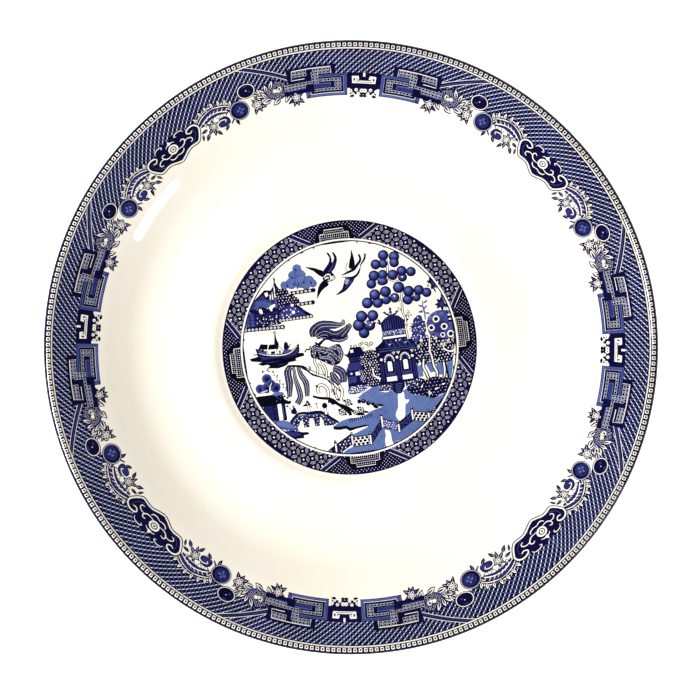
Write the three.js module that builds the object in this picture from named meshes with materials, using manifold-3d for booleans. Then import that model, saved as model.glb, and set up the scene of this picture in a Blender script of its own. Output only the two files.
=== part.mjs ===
// A deep, coupe-shaped earthenware dinner plate with blue transfer prints under its glaze.
// Millimetres, +Z up. The origin is at the centre of the foot ring, on the plane that it stands on.
// The fired body carries five prints: a medallion in the middle and a border laid in four strips.
// One coat of glaze covers the face, the lip and the back, and a second one fills the foot ring.

import * as THREE from "three";
import { mergeVertices } from "three/addons/utils/BufferGeometryUtils.js";
import Module from "manifold-3d";

// Outline of the glazed plate
const plateRadius = 133.5;
const lipRadius = 1.9;
const centreFloorRadius = 54;
const centreFloorZ = 7;
const wellFloorRadius = 61;
const wellFloorZ = 8.8;
const wellEdgeRadius = 76;
const wellEdgeZ = 9.4;
const wallStartRadius = 97;
const wallSlope = THREE.MathUtils.degToRad(30);
const lipSlope = THREE.MathUtils.degToRad(28);
const shoulderReach = 3;
const wallCornerShift = 1;

// Back of the wall, from its foot in to the flat ring round the foot
const backWallRadius = 99.1;
const backWallZ = 11.75;
const backCornerRadius = 88;
const backCornerZ = 5.3;
const backEdgeRadius = 80;
const backEdgeZ = 5.08;

// Foot ring
const footTopRadius = 75.5;
const footTopZ = 4.95;
const footShoulderReach = 2.5;
const footShoulderDrop = 0.1;
const glazeEdgeRadius = 71.6;
const glazeEdgeZ = 1;
const footOuterRadius = 70.8;
const footInnerRadius = 67.2;
const baseGlazeEdgeRadius = 66.2;
const baseGlazeEdgeZ = 1.1;
const baseRadius = 62.5;
const baseZ = 3;
const baseCornerReach = 2.4;

// Layers, measured square to the surface
const glazeThickness = 0.3;
const printThickness = 0.06;
const layerGap = 0.02;
const printClearance = 0.2;

// Prints
const medallionRadius = 55.5;
const borderInnerRadius = 108.3;
const borderOuterRadius = 130.2;
const stripSeamAngles = { right: 43.7, top: 131.9, left: 222.3, bottom: 316.2 };
const stripSeamGap = 0.3;

const radialSegments = 64;

const wasm = await Module();
wasm.setup();

// Depths of the layers below the glazed surface
const bodyDepth = glazeThickness + layerGap;
const printFloorDepth = glazeThickness;
const printTopDepth = glazeThickness - printThickness;
const glazeOverPrintDepth = printTopDepth - layerGap;

// The points of a curve, without its first one
function along(curve, steps) {
  return curve.getPoints(steps).slice(1);
}

function bend(start, corner, end, steps) {
  return along(new THREE.QuadraticBezierCurve(start, corner, end), steps);
}

function point(radius, z) {
  return new THREE.Vector2(radius, z);
}

// Where a line from a point, rising at a slope, reaches a radius
function rise(from, slope, radius) {
  return point(radius, from.y + (radius - from.x) * Math.tan(slope));
}

// The point at a distance square to a slope: above it where the distance is positive
function square(from, slope, distance) {
  return point(from.x - distance * Math.sin(slope), from.y + distance * Math.cos(slope));
}

// The glazed face, from the axis out to where the lip begins
function facePoints() {
  const axis = point(0, centreFloorZ);
  const centreEdge = point(centreFloorRadius, centreFloorZ);
  const wellFloor = point(wellFloorRadius, wellFloorZ);
  const wellEdge = point(wellEdgeRadius, wellEdgeZ);
  const shoulder = new THREE.CubicBezierCurve(
    centreEdge,
    point(centreFloorRadius + shoulderReach, centreFloorZ),
    point(wellFloorRadius - shoulderReach, wellFloorZ),
    wellFloor,
  );
  const wellSlope = Math.atan2(wellEdgeZ - wellFloorZ, wellEdgeRadius - wellFloorRadius);
  const wellCornerRadius = (wellEdgeRadius + wallStartRadius) / 2 + wallCornerShift;
  const wellCorner = rise(wellEdge, wellSlope, wellCornerRadius);
  const wallStart = rise(wellCorner, wallSlope, wallStartRadius);
  const wallEndRadius = plateRadius - lipRadius - lipRadius * Math.sin(lipSlope);
  const wallCorner = rise(wallStart, wallSlope, (wallStartRadius + wallEndRadius) / 2);
  const wallEnd = rise(wallCorner, lipSlope, wallEndRadius);
  return [
    axis,
    centreEdge,
    ...along(shoulder, 4),
    wellEdge,
    ...bend(wellEdge, wellCorner, wallStart, 4),
    ...bend(wallStart, wallCorner, wallEnd, 3),
  ];
}

// The glazed lip and back, from the lip to the bare edge of the foot ring
function backPoints(wallEnd) {
  const lipCentre = square(wallEnd, lipSlope, -lipRadius);
  const faceSide = Math.PI / 2 + lipSlope;
  const lip = new THREE.EllipseCurve(
    lipCentre.x,
    lipCentre.y,
    lipRadius,
    lipRadius,
    faceSide,
    faceSide - Math.PI,
    true,
  );
  const backStart = square(lipCentre, lipSlope, -lipRadius);
  const wallFoot = point(backWallRadius, backWallZ);
  const backCorner = point(backCornerRadius, backCornerZ);
  const backEdge = point(backEdgeRadius, backEdgeZ);
  const footTop = point(footTopRadius, footTopZ);
  const footShoulder = point(footTopRadius - footShoulderReach, footTopZ - footShoulderDrop);
  const glazeEdge = point(glazeEdgeRadius, glazeEdgeZ);
  return [
    ...along(lip, 6),
    backStart.clone().lerp(wallFoot, 0.5),
    wallFoot,
    ...bend(wallFoot, backCorner, backEdge, 3),
    footTop,
    ...bend(footTop, footShoulder, glazeEdge, 3),
  ];
}

// The same outline, a depth below the surface: each point moves square to its two neighbours,
// to the right of the way that the outline runs
function sink(points, depth) {
  return points.map((here, i) => {
    const before = points[Math.max(i - 1, 0)];
    const after = points[Math.min(i + 1, points.length - 1)];
    const back = here.clone().sub(before);
    const ahead = after.clone().sub(here);
    const direction = back.normalize().add(ahead.normalize()).normalize();
    return point(here.x + direction.y * depth, here.y - direction.x * depth);
  });
}

// The part of an outline between two radii, with an end point made at each one
function between(points, fromRadius, toRadius) {
  const cutAt = (radius) => {
    const i = points.findIndex((p, n) => n > 0 && p.x >= radius);
    const share = (radius - points[i - 1].x) / (points[i].x - points[i - 1].x);
    return points[i - 1].clone().lerp(points[i], share);
  };
  const inside = points.filter((p) => p.x > fromRadius + 0.01 && p.x < toRadius - 0.01);
  const start = fromRadius > 0 ? cutAt(fromRadius) : points[0].clone();
  return [start, ...inside, cutAt(toRadius)];
}

// Turns an outline round the Z axis. It runs outwards below and inwards above.
function turned(outline) {
  const geometry = new THREE.LatheGeometry(outline, radialSegments);
  return geometry.rotateX(Math.PI / 2);
}

function solidOf(geometry) {
  const bare = new THREE.BufferGeometry();
  bare.setAttribute("position", geometry.getAttribute("position"));
  bare.setIndex(geometry.index);
  const merged = mergeVertices(bare, 1e-3);
  const vertProperties = merged.getAttribute("position").array;
  const triVerts = new Uint32Array(merged.index.array);
  return new wasm.Manifold(new wasm.Mesh({ numProp: 3, vertProperties, triVerts }));
}

function geometryOf(solid) {
  const mesh = solid.getMesh();
  const geometry = new THREE.BufferGeometry();
  geometry.setAttribute("position", new THREE.BufferAttribute(mesh.vertProperties, 3));
  geometry.setIndex(new THREE.BufferAttribute(mesh.triVerts, 1));
  geometry.computeVertexNormals();
  return geometry;
}

// A wedge of a ring: the slice between two seams, each cut back by half the seam's gap
function slice(ring, startAngle, endAngle) {
  const reach = 2 * plateRadius;
  const halfGap = THREE.MathUtils.radToDeg(stripSeamGap / 2 / borderInnerRadius);
  const angles = [startAngle + halfGap, (startAngle + endAngle) / 2, endAngle - halfGap];
  const corners = angles.map((angle) => {
    const radians = THREE.MathUtils.degToRad(angle);
    return point(reach * Math.cos(radians), reach * Math.sin(radians));
  });
  const wedge = new THREE.ExtrudeGeometry(new THREE.Shape([point(0, 0), ...corners]), {
    depth: plateRadius,
    bevelEnabled: false,
  });
  return geometryOf(solidOf(ring).intersect(solidOf(wedge)));
}

// The glazed base, from the bare edge inside the foot ring to the axis
function basePoints() {
  const glazeEdge = point(baseGlazeEdgeRadius, baseGlazeEdgeZ);
  const corner = point(baseRadius + baseCornerReach, baseZ);
  const baseEdge = point(baseRadius, baseZ);
  return [glazeEdge, ...bend(glazeEdge, corner, baseEdge, 3), point(0, baseZ)];
}

const face = facePoints();
const back = backPoints(face.at(-1));
const surface = [...face, ...back];
const base = basePoints();

// A print's closed outline: its underside runs outwards and its top runs back inwards
function printOutline(fromRadius, toRadius) {
  const part = between(face, fromRadius, toRadius);
  const outline = [...sink(part, printFloorDepth), ...sink(part, printTopDepth).reverse()];
  if (fromRadius > 0) {
    outline.push(outline[0].clone());
  }
  return outline;
}

// The fired body: the base inside the foot ring, the bare foot, the back, the lip and the face
function bodyOutline() {
  const foot = [point(footInnerRadius, 0), point(footOuterRadius, 0)];
  return [...sink(base, bodyDepth).reverse(), ...foot, ...sink(surface, bodyDepth).reverse()];
}

// The glaze's inner side follows the body, and steps up over each print
function glazeOutline() {
  const print = sink(face, glazeOverPrintDepth);
  const plain = sink(face, glazeThickness);
  const faceInside = [
    ...between(print, 0, medallionRadius + printClearance),
    ...between(plain, medallionRadius + 2 * printClearance, borderInnerRadius - 2 * printClearance),
    ...between(print, borderInnerRadius - printClearance, borderOuterRadius + printClearance),
  ];
  const lipInside = sink(surface, glazeThickness).slice(face.length - 1);
  return [...faceInside, ...lipInside, ...[...surface].reverse()];
}

// The glaze inside the foot ring: a shallow upturned dish
function baseGlazeOutline() {
  return [...[...base].reverse(), ...sink(base, glazeThickness)];
}

const biscuit = new THREE.MeshStandardMaterial({ color: 0xe6dcc8, roughness: 0.85, metalness: 0 });
const glaze = new THREE.MeshStandardMaterial({ color: 0xf7f5ee, roughness: 0.1, metalness: 0 });
const cobalt = new THREE.MeshStandardMaterial({ color: 0x1a2470, roughness: 0.25, metalness: 0 });

const plate = new THREE.Group();

function add(name, geometry, material) {
  const mesh = new THREE.Mesh(geometry, material);
  mesh.name = name;
  plate.add(mesh);
}

add("plate_body", turned(bodyOutline()), biscuit);
add("face_and_back_glaze", turned(glazeOutline()), glaze);
add("base_glaze", turned(baseGlazeOutline()), glaze);
add("medallion_print", turned(printOutline(0, medallionRadius)), cobalt);

// The four strips of the border meet at the seams, going round counter-clockwise from the right
const borderRing = turned(printOutline(borderInnerRadius, borderOuterRadius));
const { right, top, left, bottom } = stripSeamAngles;
add("border_print_top", slice(borderRing, right, top), cobalt);
add("border_print_left", slice(borderRing, top, left), cobalt);
add("border_print_bottom", slice(borderRing, left, bottom), cobalt);
add("border_print_right", slice(borderRing, bottom, right + 360), cobalt);

export default plate;
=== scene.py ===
import math
import random
import bpy
import numpy as np
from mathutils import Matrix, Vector
from mathutils.geometry import delaunay_2d_cdt


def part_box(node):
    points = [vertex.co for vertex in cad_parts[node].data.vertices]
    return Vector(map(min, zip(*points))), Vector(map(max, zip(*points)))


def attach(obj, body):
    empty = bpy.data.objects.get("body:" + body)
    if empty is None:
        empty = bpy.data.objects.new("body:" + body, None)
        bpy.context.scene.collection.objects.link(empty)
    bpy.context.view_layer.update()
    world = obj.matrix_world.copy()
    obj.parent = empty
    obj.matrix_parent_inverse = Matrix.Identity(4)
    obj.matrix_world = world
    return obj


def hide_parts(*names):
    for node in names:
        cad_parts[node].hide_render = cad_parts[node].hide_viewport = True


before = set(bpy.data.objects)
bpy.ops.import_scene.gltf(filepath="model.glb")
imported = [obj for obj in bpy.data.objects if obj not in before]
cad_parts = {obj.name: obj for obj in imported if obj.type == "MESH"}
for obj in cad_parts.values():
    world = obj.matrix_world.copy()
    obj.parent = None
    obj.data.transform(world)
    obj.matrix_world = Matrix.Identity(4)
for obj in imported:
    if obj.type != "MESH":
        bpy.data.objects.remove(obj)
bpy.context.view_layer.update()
mm = 0.001
print("frame loaded:", sorted(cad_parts))


class Wire:
    # one socket of a node tree: sums, products and powers of wires add Math nodes
    def __init__(self, wiring, socket):
        self.wiring = wiring
        self.socket = socket

    def maths(self, operation, first, second):
        return self.wiring.node("ShaderNodeMath", {"operation": operation}, {0: first, 1: second})

    def __add__(self, other):
        return self.maths("ADD", self, other)

    def __radd__(self, other):
        return self.maths("ADD", other, self)

    def __sub__(self, other):
        return self.maths("SUBTRACT", self, other)

    def __rsub__(self, other):
        return self.maths("SUBTRACT", other, self)

    def __mul__(self, other):
        return self.maths("MULTIPLY", self, other)

    def __rmul__(self, other):
        return self.maths("MULTIPLY", other, self)

    def __truediv__(self, other):
        return self.maths("DIVIDE", self, other)

    def __rtruediv__(self, other):
        return self.maths("DIVIDE", other, self)

    def __pow__(self, other):
        return self.maths("POWER", self, other)


class Wiring:
    # adds nodes to a tree: settings first, then the values or links of the sockets
    def __init__(self, tree):
        self.tree = tree

    def node(self, kind, settings=None, sockets=None, output=0):
        made = self.tree.nodes.new(kind)
        for name, value in (settings or {}).items():
            setattr(made, name, value)
        for key, value in (sockets or {}).items():
            if isinstance(value, Wire):
                self.tree.links.new(value.socket, made.inputs[key])
            elif value is not None:
                made.inputs[key].default_value = value
        return Wire(self, made.outputs[output]) if len(made.outputs) else made

    def mixColour(self, factor, first, second):
        sockets = {0: factor, 6: first, 7: second}
        return self.node("ShaderNodeMix", {"data_type": "RGBA"}, sockets, output=2)

    def ramp(self, value, low, high):
        settings = {"interpolation_type": "SMOOTHSTEP", "clamp": True}
        return self.node("ShaderNodeMapRange", settings, {0: value, 1: low, 2: high, 3: 0.0, 4: 1.0})


def newMaterial(name, principled, build):
    material = bpy.data.materials.new(name)
    material.use_nodes = True
    wiring = Wiring(material.node_tree)
    shader = material.node_tree.nodes["Principled BSDF"]
    for socket, value in principled.items():
        shader.inputs[socket].default_value = value
    place = wiring.node("ShaderNodeTexCoord", output=3)
    for socket, wire in build(wiring, place).items():
        material.node_tree.links.new(wire.socket, shader.inputs[socket])
    return material


def noiseOf(wiring, place, scale, detail=2.0, roughness=0.5):
    sockets = {"Vector": place, "Scale": scale, "Detail": detail, "Roughness": roughness}
    return wiring.node("ShaderNodeTexNoise", {"noise_dimensions": "3D"}, sockets)


def bumpOf(wiring, height, strength, distance):
    return wiring.node("ShaderNodeBump", None, {"Strength": strength, "Distance": distance, "Height": height})


plateForm = {
    "radius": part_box("face_and_back_glaze")[1].x / mm,
    "lipRadius": 1.9,
    "centreFloor": (54.0, 7.0),
    "wellFloor": (61.0, 8.8),
    "wellEdge": (76.0, 9.4),
    "wallStart": 97.0,
    "wallCornerShift": 1.0,
    "centreShoulder": 3.0,
    "wallSlope": math.radians(30),
    "lipSlope": math.radians(28),
    "wallFoot": (99.1, 11.75),
    "backCorner": (88.0, 5.3),
    "backEdge": (80.0, 5.08),
    "footTop": (75.5, 4.95),
    "footShoulder": (2.5, 0.1),
    "glazeEdge": (71.6, 1.0),
    "foot": (67.2, 70.8),
    "baseEdge": (66.2, 1.1),
    "base": (62.5, 3.0),
    "baseCornerReach": 2.4,
    "glaze": 0.3,
    "glazeGap": 0.02,
    "footRound": {"flat": 0.35, "low": 0.12, "flare": 0.25, "high": 0.45},
    "roll": {"radius": 104.3, "width": 3.2, "slope": 0.03},
    "turns": 256,
    "lipPointsUnderPrint": 10,
}
outlineSteps = {
    "centre": 12,
    "shoulder": 14,
    "well": 5,
    "wallCorner": 16,
    "wall": 40,
    "lip": 18,
    "backWall": 8,
    "backCorner": 10,
    "backFlat": 2,
    "foot": 8,
    "base": 6,
}
weldDistance = 0.002 * mm


def bend(points, steps):
    # a Bezier curve of any degree, without its first point
    made = []
    for step in range(1, steps + 1):
        share = step / steps
        row = [Vector(p) for p in points]
        while len(row) > 1:
            row = [a.lerp(b, share) for a, b in zip(row, row[1:])]
        made.append(tuple(row[0]))
    return made


def rise(start, slope, radius):
    return (radius, start[1] + (radius - start[0]) * math.tan(slope))


def squareTo(start, slope, distance):
    return (start[0] - distance * math.sin(slope), start[1] + distance * math.cos(slope))


def roll(radius, form):
    # a faint roll left in the wall by the forming tool: a little steeper at one radius, flatter on each side
    away = radius - form["radius"]
    return form["slope"] * away * math.exp(-0.5 * (away / form["width"]) ** 2)


def faceOutline(form):
    centre, well, edge = form["centreFloor"], form["wellFloor"], form["wellEdge"]
    wellSlope = math.atan2(edge[1] - well[1], edge[0] - well[0])
    corner = rise(edge, wellSlope, (edge[0] + form["wallStart"]) / 2 + form["wallCornerShift"])
    wallStart = rise(corner, form["wallSlope"], form["wallStart"])
    lipReach = form["lipRadius"] * (1 + math.sin(form["lipSlope"]))
    wallEndRadius = form["radius"] - lipReach
    wallCorner = rise(wallStart, form["wallSlope"], (form["wallStart"] + wallEndRadius) / 2)
    wallEnd = rise(wallCorner, form["lipSlope"], wallEndRadius)
    reach = form["centreShoulder"]
    shoulder = [centre, (centre[0] + reach, centre[1]), (well[0] - reach, well[1]), well]
    steps = outlineSteps
    floor = [(centre[0] * i / steps["centre"], centre[1]) for i in range(steps["centre"] + 1)]
    walls = bend([edge, corner, wallStart], steps["wallCorner"])
    walls += bend([wallStart, wallCorner, wallEnd], steps["wall"])
    walls = [(radius, height + roll(radius, form["roll"])) for radius, height in walls]
    return floor + bend(shoulder, steps["shoulder"]) + bend([well, edge], steps["well"]) + walls


def backOutline(form, wallEnd):
    lip = form["lipRadius"]
    middle = squareTo(wallEnd, form["lipSlope"], -lip)
    start = math.pi / 2 + form["lipSlope"]
    steps = outlineSteps
    angles = [start - math.pi * i / steps["lip"] for i in range(1, steps["lip"] + 1)]
    rounded = [(middle[0] + lip * math.cos(a), middle[1] + lip * math.sin(a)) for a in angles]
    wallFoot, corner, backEdge = form["wallFoot"], form["backCorner"], form["backEdge"]
    top, edge = form["footTop"], form["glazeEdge"]
    reach, drop = form["footShoulder"]
    return (
        rounded
        + bend([rounded[-1], wallFoot], steps["backWall"])
        + bend([wallFoot, corner, backEdge], steps["backCorner"])
        + bend([backEdge, top], steps["backFlat"])
        + bend([top, (top[0] - reach, top[1] - drop), edge], steps["foot"])
    )


def sink(outline, depth):
    # moves each point square to its two neighbours, to the right of the way the outline runs
    made = []
    for i, (radius, height) in enumerate(outline):
        before = outline[max(i - 1, 0)]
        after = outline[min(i + 1, len(outline) - 1)]
        way = Vector((after[0] - before[0], after[1] - before[1])).normalized()
        made.append((max(radius + way.y * depth, 0.0), height - way.x * depth))
    return made


face = faceOutline(plateForm)
back = backOutline(plateForm, face[-1])
surface = face + back
baseEdge, base = plateForm["baseEdge"], plateForm["base"]
baseCorner = (base[0] + plateForm["baseCornerReach"], base[1])
baseOutline = [baseEdge] + bend([baseEdge, baseCorner, base], outlineSteps["foot"])
baseSteps = outlineSteps["base"]
baseOutline += [(base[0] * (1 - i / baseSteps), base[1]) for i in range(1, baseSteps + 1)]

# the face as tables of height and slope against radius, for laying flat artwork on it
faceTable = face + back[:plateForm["lipPointsUnderPrint"]]
faceRadii = np.array([p[0] for p in faceTable])
faceHeights = np.array([p[1] for p in faceTable])
faceSlopes = np.arctan2(np.gradient(faceHeights), np.gradient(faceRadii))


def laidOn(flat, lift):
    # places and normals on the face for flat points, lifted square to it
    radii = np.hypot(flat[:, 0], flat[:, 1])
    slopes = np.interp(radii, faceRadii, faceSlopes)
    outward = flat / np.maximum(radii, 1e-6)[:, None]
    normals = np.column_stack([-np.sin(slopes)[:, None] * outward, np.cos(slopes)])
    places = np.column_stack([flat, np.interp(radii, faceRadii, faceHeights)])
    return (places + normals * lift) * mm, normals


def turningTree():
    tree = bpy.data.node_groups.new("turning", "GeometryNodeTree")
    sockets = tree.interface
    sockets.new_socket("Outline", in_out="INPUT", socket_type="NodeSocketGeometry")
    sockets.new_socket("Steps round", in_out="INPUT", socket_type="NodeSocketInt")
    sockets.new_socket("Points along", in_out="INPUT", socket_type="NodeSocketInt")
    sockets.new_socket("Merge distance", in_out="INPUT", socket_type="NodeSocketFloat")
    sockets.new_socket("Finish", in_out="INPUT", socket_type="NodeSocketMaterial")
    sockets.new_socket("Turned", in_out="OUTPUT", socket_type="NodeSocketGeometry")
    wiring = Wiring(tree)
    given = wiring.node("NodeGroupInput").socket.node
    outline, rounded, along, merge, finish = [Wire(wiring, given.outputs[i]) for i in range(5)]
    # a grid with one row of points for each point of the outline, and one column for each step round
    grid = wiring.node("GeometryNodeMeshGrid", None, {0: 1.0, 1: 1.0, 2: rounded + 1, 3: along})
    index = wiring.node("GeometryNodeInputIndex")
    column = wiring.node("ShaderNodeMath", {"operation": "FLOOR"}, {0: (index + 0.5) / along})
    row = index - column * along
    sample = {"data_type": "FLOAT_VECTOR", "domain": "POINT"}
    position = wiring.node("GeometryNodeInputPosition")
    there = wiring.node("GeometryNodeSampleIndex", sample, {0: outline, 1: position, 2: row})
    parts = wiring.node("ShaderNodeSeparateXYZ", None, {0: there}).socket.node
    radius, height = Wire(wiring, parts.outputs[0]), Wire(wiring, parts.outputs[2])
    angle = column * (2 * math.pi) / rounded
    cosine = wiring.node("ShaderNodeMath", {"operation": "COSINE"}, {0: angle})
    sine = wiring.node("ShaderNodeMath", {"operation": "SINE"}, {0: angle})
    place = wiring.node("ShaderNodeCombineXYZ", None, {0: radius * cosine, 1: radius * sine, 2: height})
    turned = wiring.node("GeometryNodeSetPosition", None, {0: grid, 2: place})
    closed = wiring.node("GeometryNodeMergeByDistance", None, {"Geometry": turned, "Distance": merge})
    smooth = wiring.node("GeometryNodeSetShadeSmooth", None, {0: closed, "Shade Smooth": True})
    real = wiring.node("GeometryNodeRealizeInstances", None, {0: smooth})
    finished = wiring.node("GeometryNodeSetMaterial", None, {0: real, "Material": finish})
    wiring.node("NodeGroupOutput", None, {0: finished})
    return tree


def runTree(name, mesh, tree, values):
    # runs a node tree on a mesh once and keeps the result as a plain mesh
    worker = bpy.data.objects.new(name + "Worker", mesh)
    bpy.context.scene.collection.objects.link(worker)
    modifier = worker.modifiers.new("nodes", "NODES")
    modifier.node_group = tree
    for item in tree.interface.items_tree:
        if item.in_out == "INPUT" and item.name in values:
            modifier[item.identifier] = values[item.name]
    worker.update_tag()
    bpy.context.view_layer.update()
    evaluated = worker.evaluated_get(bpy.context.evaluated_depsgraph_get())
    made = bpy.data.meshes.new_from_object(evaluated)
    made.name = name
    made.materials.clear()
    made.materials.append(values["Finish"])
    made.polygons.foreach_set("material_index", [0] * len(made.polygons))
    worker.modifiers.remove(modifier)
    bpy.data.objects.remove(worker)
    return made


def newPiece(name, mesh, slot, *nodes):
    piece = bpy.data.objects.new(name, mesh)
    bpy.context.scene.collection.objects.link(piece)
    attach(piece, "root")
    if nodes:
        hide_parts(*nodes)


def turnedPiece(name, outline, finish, slot, node):
    points = [(radius * mm, 0.0, height * mm) for radius, height in outline]
    mesh = bpy.data.meshes.new(name + "Outline")
    mesh.from_pydata(points, [(i, i + 1) for i in range(len(points) - 1)], [])
    values = {
        "Steps round": plateForm["turns"],
        "Points along": len(points),
        "Merge distance": weldDistance,
        "Finish": finish,
    }
    made = runTree(name, mesh, turningTree(), values)
    newPiece(name, made, slot, node)
    print("turned", name, len(made.polygons), "faces")


glazeLook = {
    "warm": (0.93, 0.88, 0.775, 1),
    "clear": (0.95, 0.91, 0.82, 1),
    "speck": (0.62, 0.52, 0.38, 1),
    "roughness": 0.035,
    "roughnessSpread": 0.02,
    "indexOfRefraction": 1.5,
    "pooling": {"scale": 14.0, "low": 0.35, "high": 0.65},
    "specks": {"scale": 620.0, "low": 0.79, "high": 0.83, "strength": 0.5},
    "ripple": {"scale": 130.0, "strength": 0.06, "depth": 0.00012},
}
inkLooks = {
    "inky": {"thick": (0.0004, 0.0004, 0.003, 1), "thin": (0.001, 0.001, 0.012, 1)},
    "deep": {"thick": (0.0009, 0.0009, 0.018, 1), "thin": (0.0028, 0.0028, 0.046, 1)},
    "royal": {"thick": (0.015, 0.018, 0.115, 1), "thin": (0.027, 0.032, 0.175, 1)},
    "middle": {"thick": (0.035, 0.048, 0.205, 1), "thin": (0.072, 0.092, 0.310, 1)},
    "pale": {"thick": (0.070, 0.115, 0.300, 1), "thin": (0.120, 0.176, 0.400, 1)},
    "misty": {"thick": (0.700, 0.715, 0.860, 1), "thin": (0.800, 0.810, 0.930, 1)},
}


inkPooling = {
    "scale": 55.0,
    "grainScale": 900.0,
    "grainShare": 0.4,
    "low": 0.32,
    "high": 0.68,
    "roughnessSpread": 0.03,
}
biscuitLook = {
    "shadow": (0.66, 0.55, 0.41, 1),
    "light": (0.79, 0.70, 0.57, 1),
    "cloud": {"scale": 60.0, "low": 0.3, "high": 0.7},
    "grimeColour": (0.33, 0.26, 0.19, 1),
    "grime": {"scale": 220.0, "low": 0.56, "high": 0.75, "strength": 0.35},
    "grain": {"scale": 1400.0, "strength": 0.35, "depth": 0.0003},
    "roughness": 0.8,
    "roughnessSpread": 0.12,
}


def rippleOf(wiring, place):
    # the glaze's faint unevenness
    ripple = glazeLook["ripple"]
    height = noiseOf(wiring, place, ripple["scale"], 2.0)
    return bumpOf(wiring, height, ripple["strength"], ripple["depth"])


def glazeFinish(name, seed):
    look, pooling, specks = glazeLook, glazeLook["pooling"], glazeLook["specks"]

    def build(wiring, place):
        shifted = wiring.node("ShaderNodeMapping", None, {0: place, 1: (seed, seed, 0)})
        pooled = noiseOf(wiring, shifted, pooling["scale"], 3.0)
        share = wiring.ramp(pooled, pooling["low"], pooling["high"])
        colour = wiring.mixColour(share, look["warm"], look["clear"])
        grain = noiseOf(wiring, shifted, specks["scale"], 1.0)
        specked = wiring.ramp(grain, specks["low"], specks["high"]) * specks["strength"]
        return {
            "Base Color": wiring.mixColour(specked, colour, look["speck"]),
            "Roughness": look["roughness"] + pooled * look["roughnessSpread"],
            "Normal": rippleOf(wiring, shifted),
        }

    return newMaterial(name, {"IOR": look["indexOfRefraction"], "Coat Weight": 0.0}, build)


def inkFinish(tone):
    look, pooling = inkLooks[tone], inkPooling

    def build(wiring, place):
        pooled = noiseOf(wiring, place, pooling["scale"], 3.0)
        fine = noiseOf(wiring, place, pooling["grainScale"], 1.0)
        mixed = pooled * (1 - pooling["grainShare"]) + fine * pooling["grainShare"]
        share = wiring.ramp(mixed, pooling["low"], pooling["high"])
        return {
            "Base Color": wiring.mixColour(share, look["thick"], look["thin"]),
            "Roughness": glazeLook["roughness"] + pooled * pooling["roughnessSpread"],
            "Normal": rippleOf(wiring, place),
        }

    return newMaterial(tone + "CobaltUnderGlaze", {"IOR": glazeLook["indexOfRefraction"]}, build)


def biscuitFinish():
    look = biscuitLook
    cloud, grime, grain = look["cloud"], look["grime"], look["grain"]

    def build(wiring, place):
        coarse = noiseOf(wiring, place, cloud["scale"], 5.0, 0.6)
        clouded = wiring.ramp(coarse, cloud["low"], cloud["high"])
        colour = wiring.mixColour(clouded, look["shadow"], look["light"])
        dirt = wiring.ramp(noiseOf(wiring, place, grime["scale"], 4.0), grime["low"], grime["high"])
        height = noiseOf(wiring, place, grain["scale"], 2.0)
        return {
            "Base Color": wiring.mixColour(dirt * grime["strength"], colour, look["grimeColour"]),
            "Roughness": look["roughness"] + coarse * look["roughnessSpread"],
            "Normal": bumpOf(wiring, height, grain["strength"], grain["depth"]),
        }

    return newMaterial("bareBiscuit", {}, build)


glazeMaterial = glazeFinish("clearGlazeOverBiscuit", 0.0)
baseGlazeMaterial = glazeFinish("clearGlazeInFoot", 3.0)
inkMaterials = {tone: inkFinish(tone) for tone in inkLooks}
biscuitMaterial = biscuitFinish()

glaze = plateForm["glaze"]
# the glaze's hidden inner side needs only every other point
glazeInside = [p for i, p in enumerate(sink(surface, glaze)) if i % 2 == 0 or i > len(surface) - 3]
glazeOutline = glazeInside + surface[::-1]
turnedPiece("glazedFaceAndBack", glazeOutline, glazeMaterial, "glaze", "face_and_back_glaze")
baseGlaze = baseOutline[::-1] + sink(baseOutline, glaze)
turnedPiece("glazedBase", baseGlaze, baseGlazeMaterial, "glaze", "base_glaze")
footInner, footOuter = plateForm["foot"]
footRound = plateForm["footRound"]
footOutline = [
    (footInner - footRound["flare"], footRound["high"]),
    (footInner, footRound["low"]),
    (footInner + footRound["flat"], 0.0),
    (footOuter - footRound["flat"], 0.0),
    (footOuter, footRound["low"]),
    (footOuter + footRound["flare"], footRound["high"]),
]
bodyDepth = glaze + plateForm["glazeGap"]
bodyOutline = sink(baseOutline, bodyDepth)[::-1] + footOutline + sink(surface, bodyDepth)[::-1]
turnedPiece("biscuitBody", bodyOutline, biscuitMaterial, "biscuit", "plate_body")


def smooth(points, closed, steps):
    # a Catmull-Rom curve through the points
    if len(points) < 3 or steps < 2:
        return list(points)
    count = len(points)
    ends = count if closed else count - 1
    made = []
    for i in range(ends):
        if closed:
            a, b, c, d = (points[(i + n) % count] for n in (-1, 0, 1, 2))
        else:
            a, b, c, d = (points[min(max(i + n, 0), count - 1)] for n in (-1, 0, 1, 2))
        for step in range(steps):
            t = step / steps
            squares, cubes = 2 * a - 5 * b + 4 * c - d, 3 * b - a - 3 * c + d
            made.append(0.5 * (2 * b + (c - a) * t + squares * t * t + cubes * t ** 3))
    if not closed:
        made.append(points[-1])
    return made


def inside(point, outline):
    found = False
    for a, b in zip(outline, outline[1:] + outline[:1]):
        if (a[1] > point[1]) != (b[1] > point[1]):
            if point[0] < a[0] + (point[1] - a[1]) / (b[1] - a[1]) * (b[0] - a[0]):
                found = not found
    return found


staggeredRise = 0.866  # of the pitch, between rows of dots
flattest = 1e-4  # square millimetres: smaller shapes are left out
mergeReach = 1e-5


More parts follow.
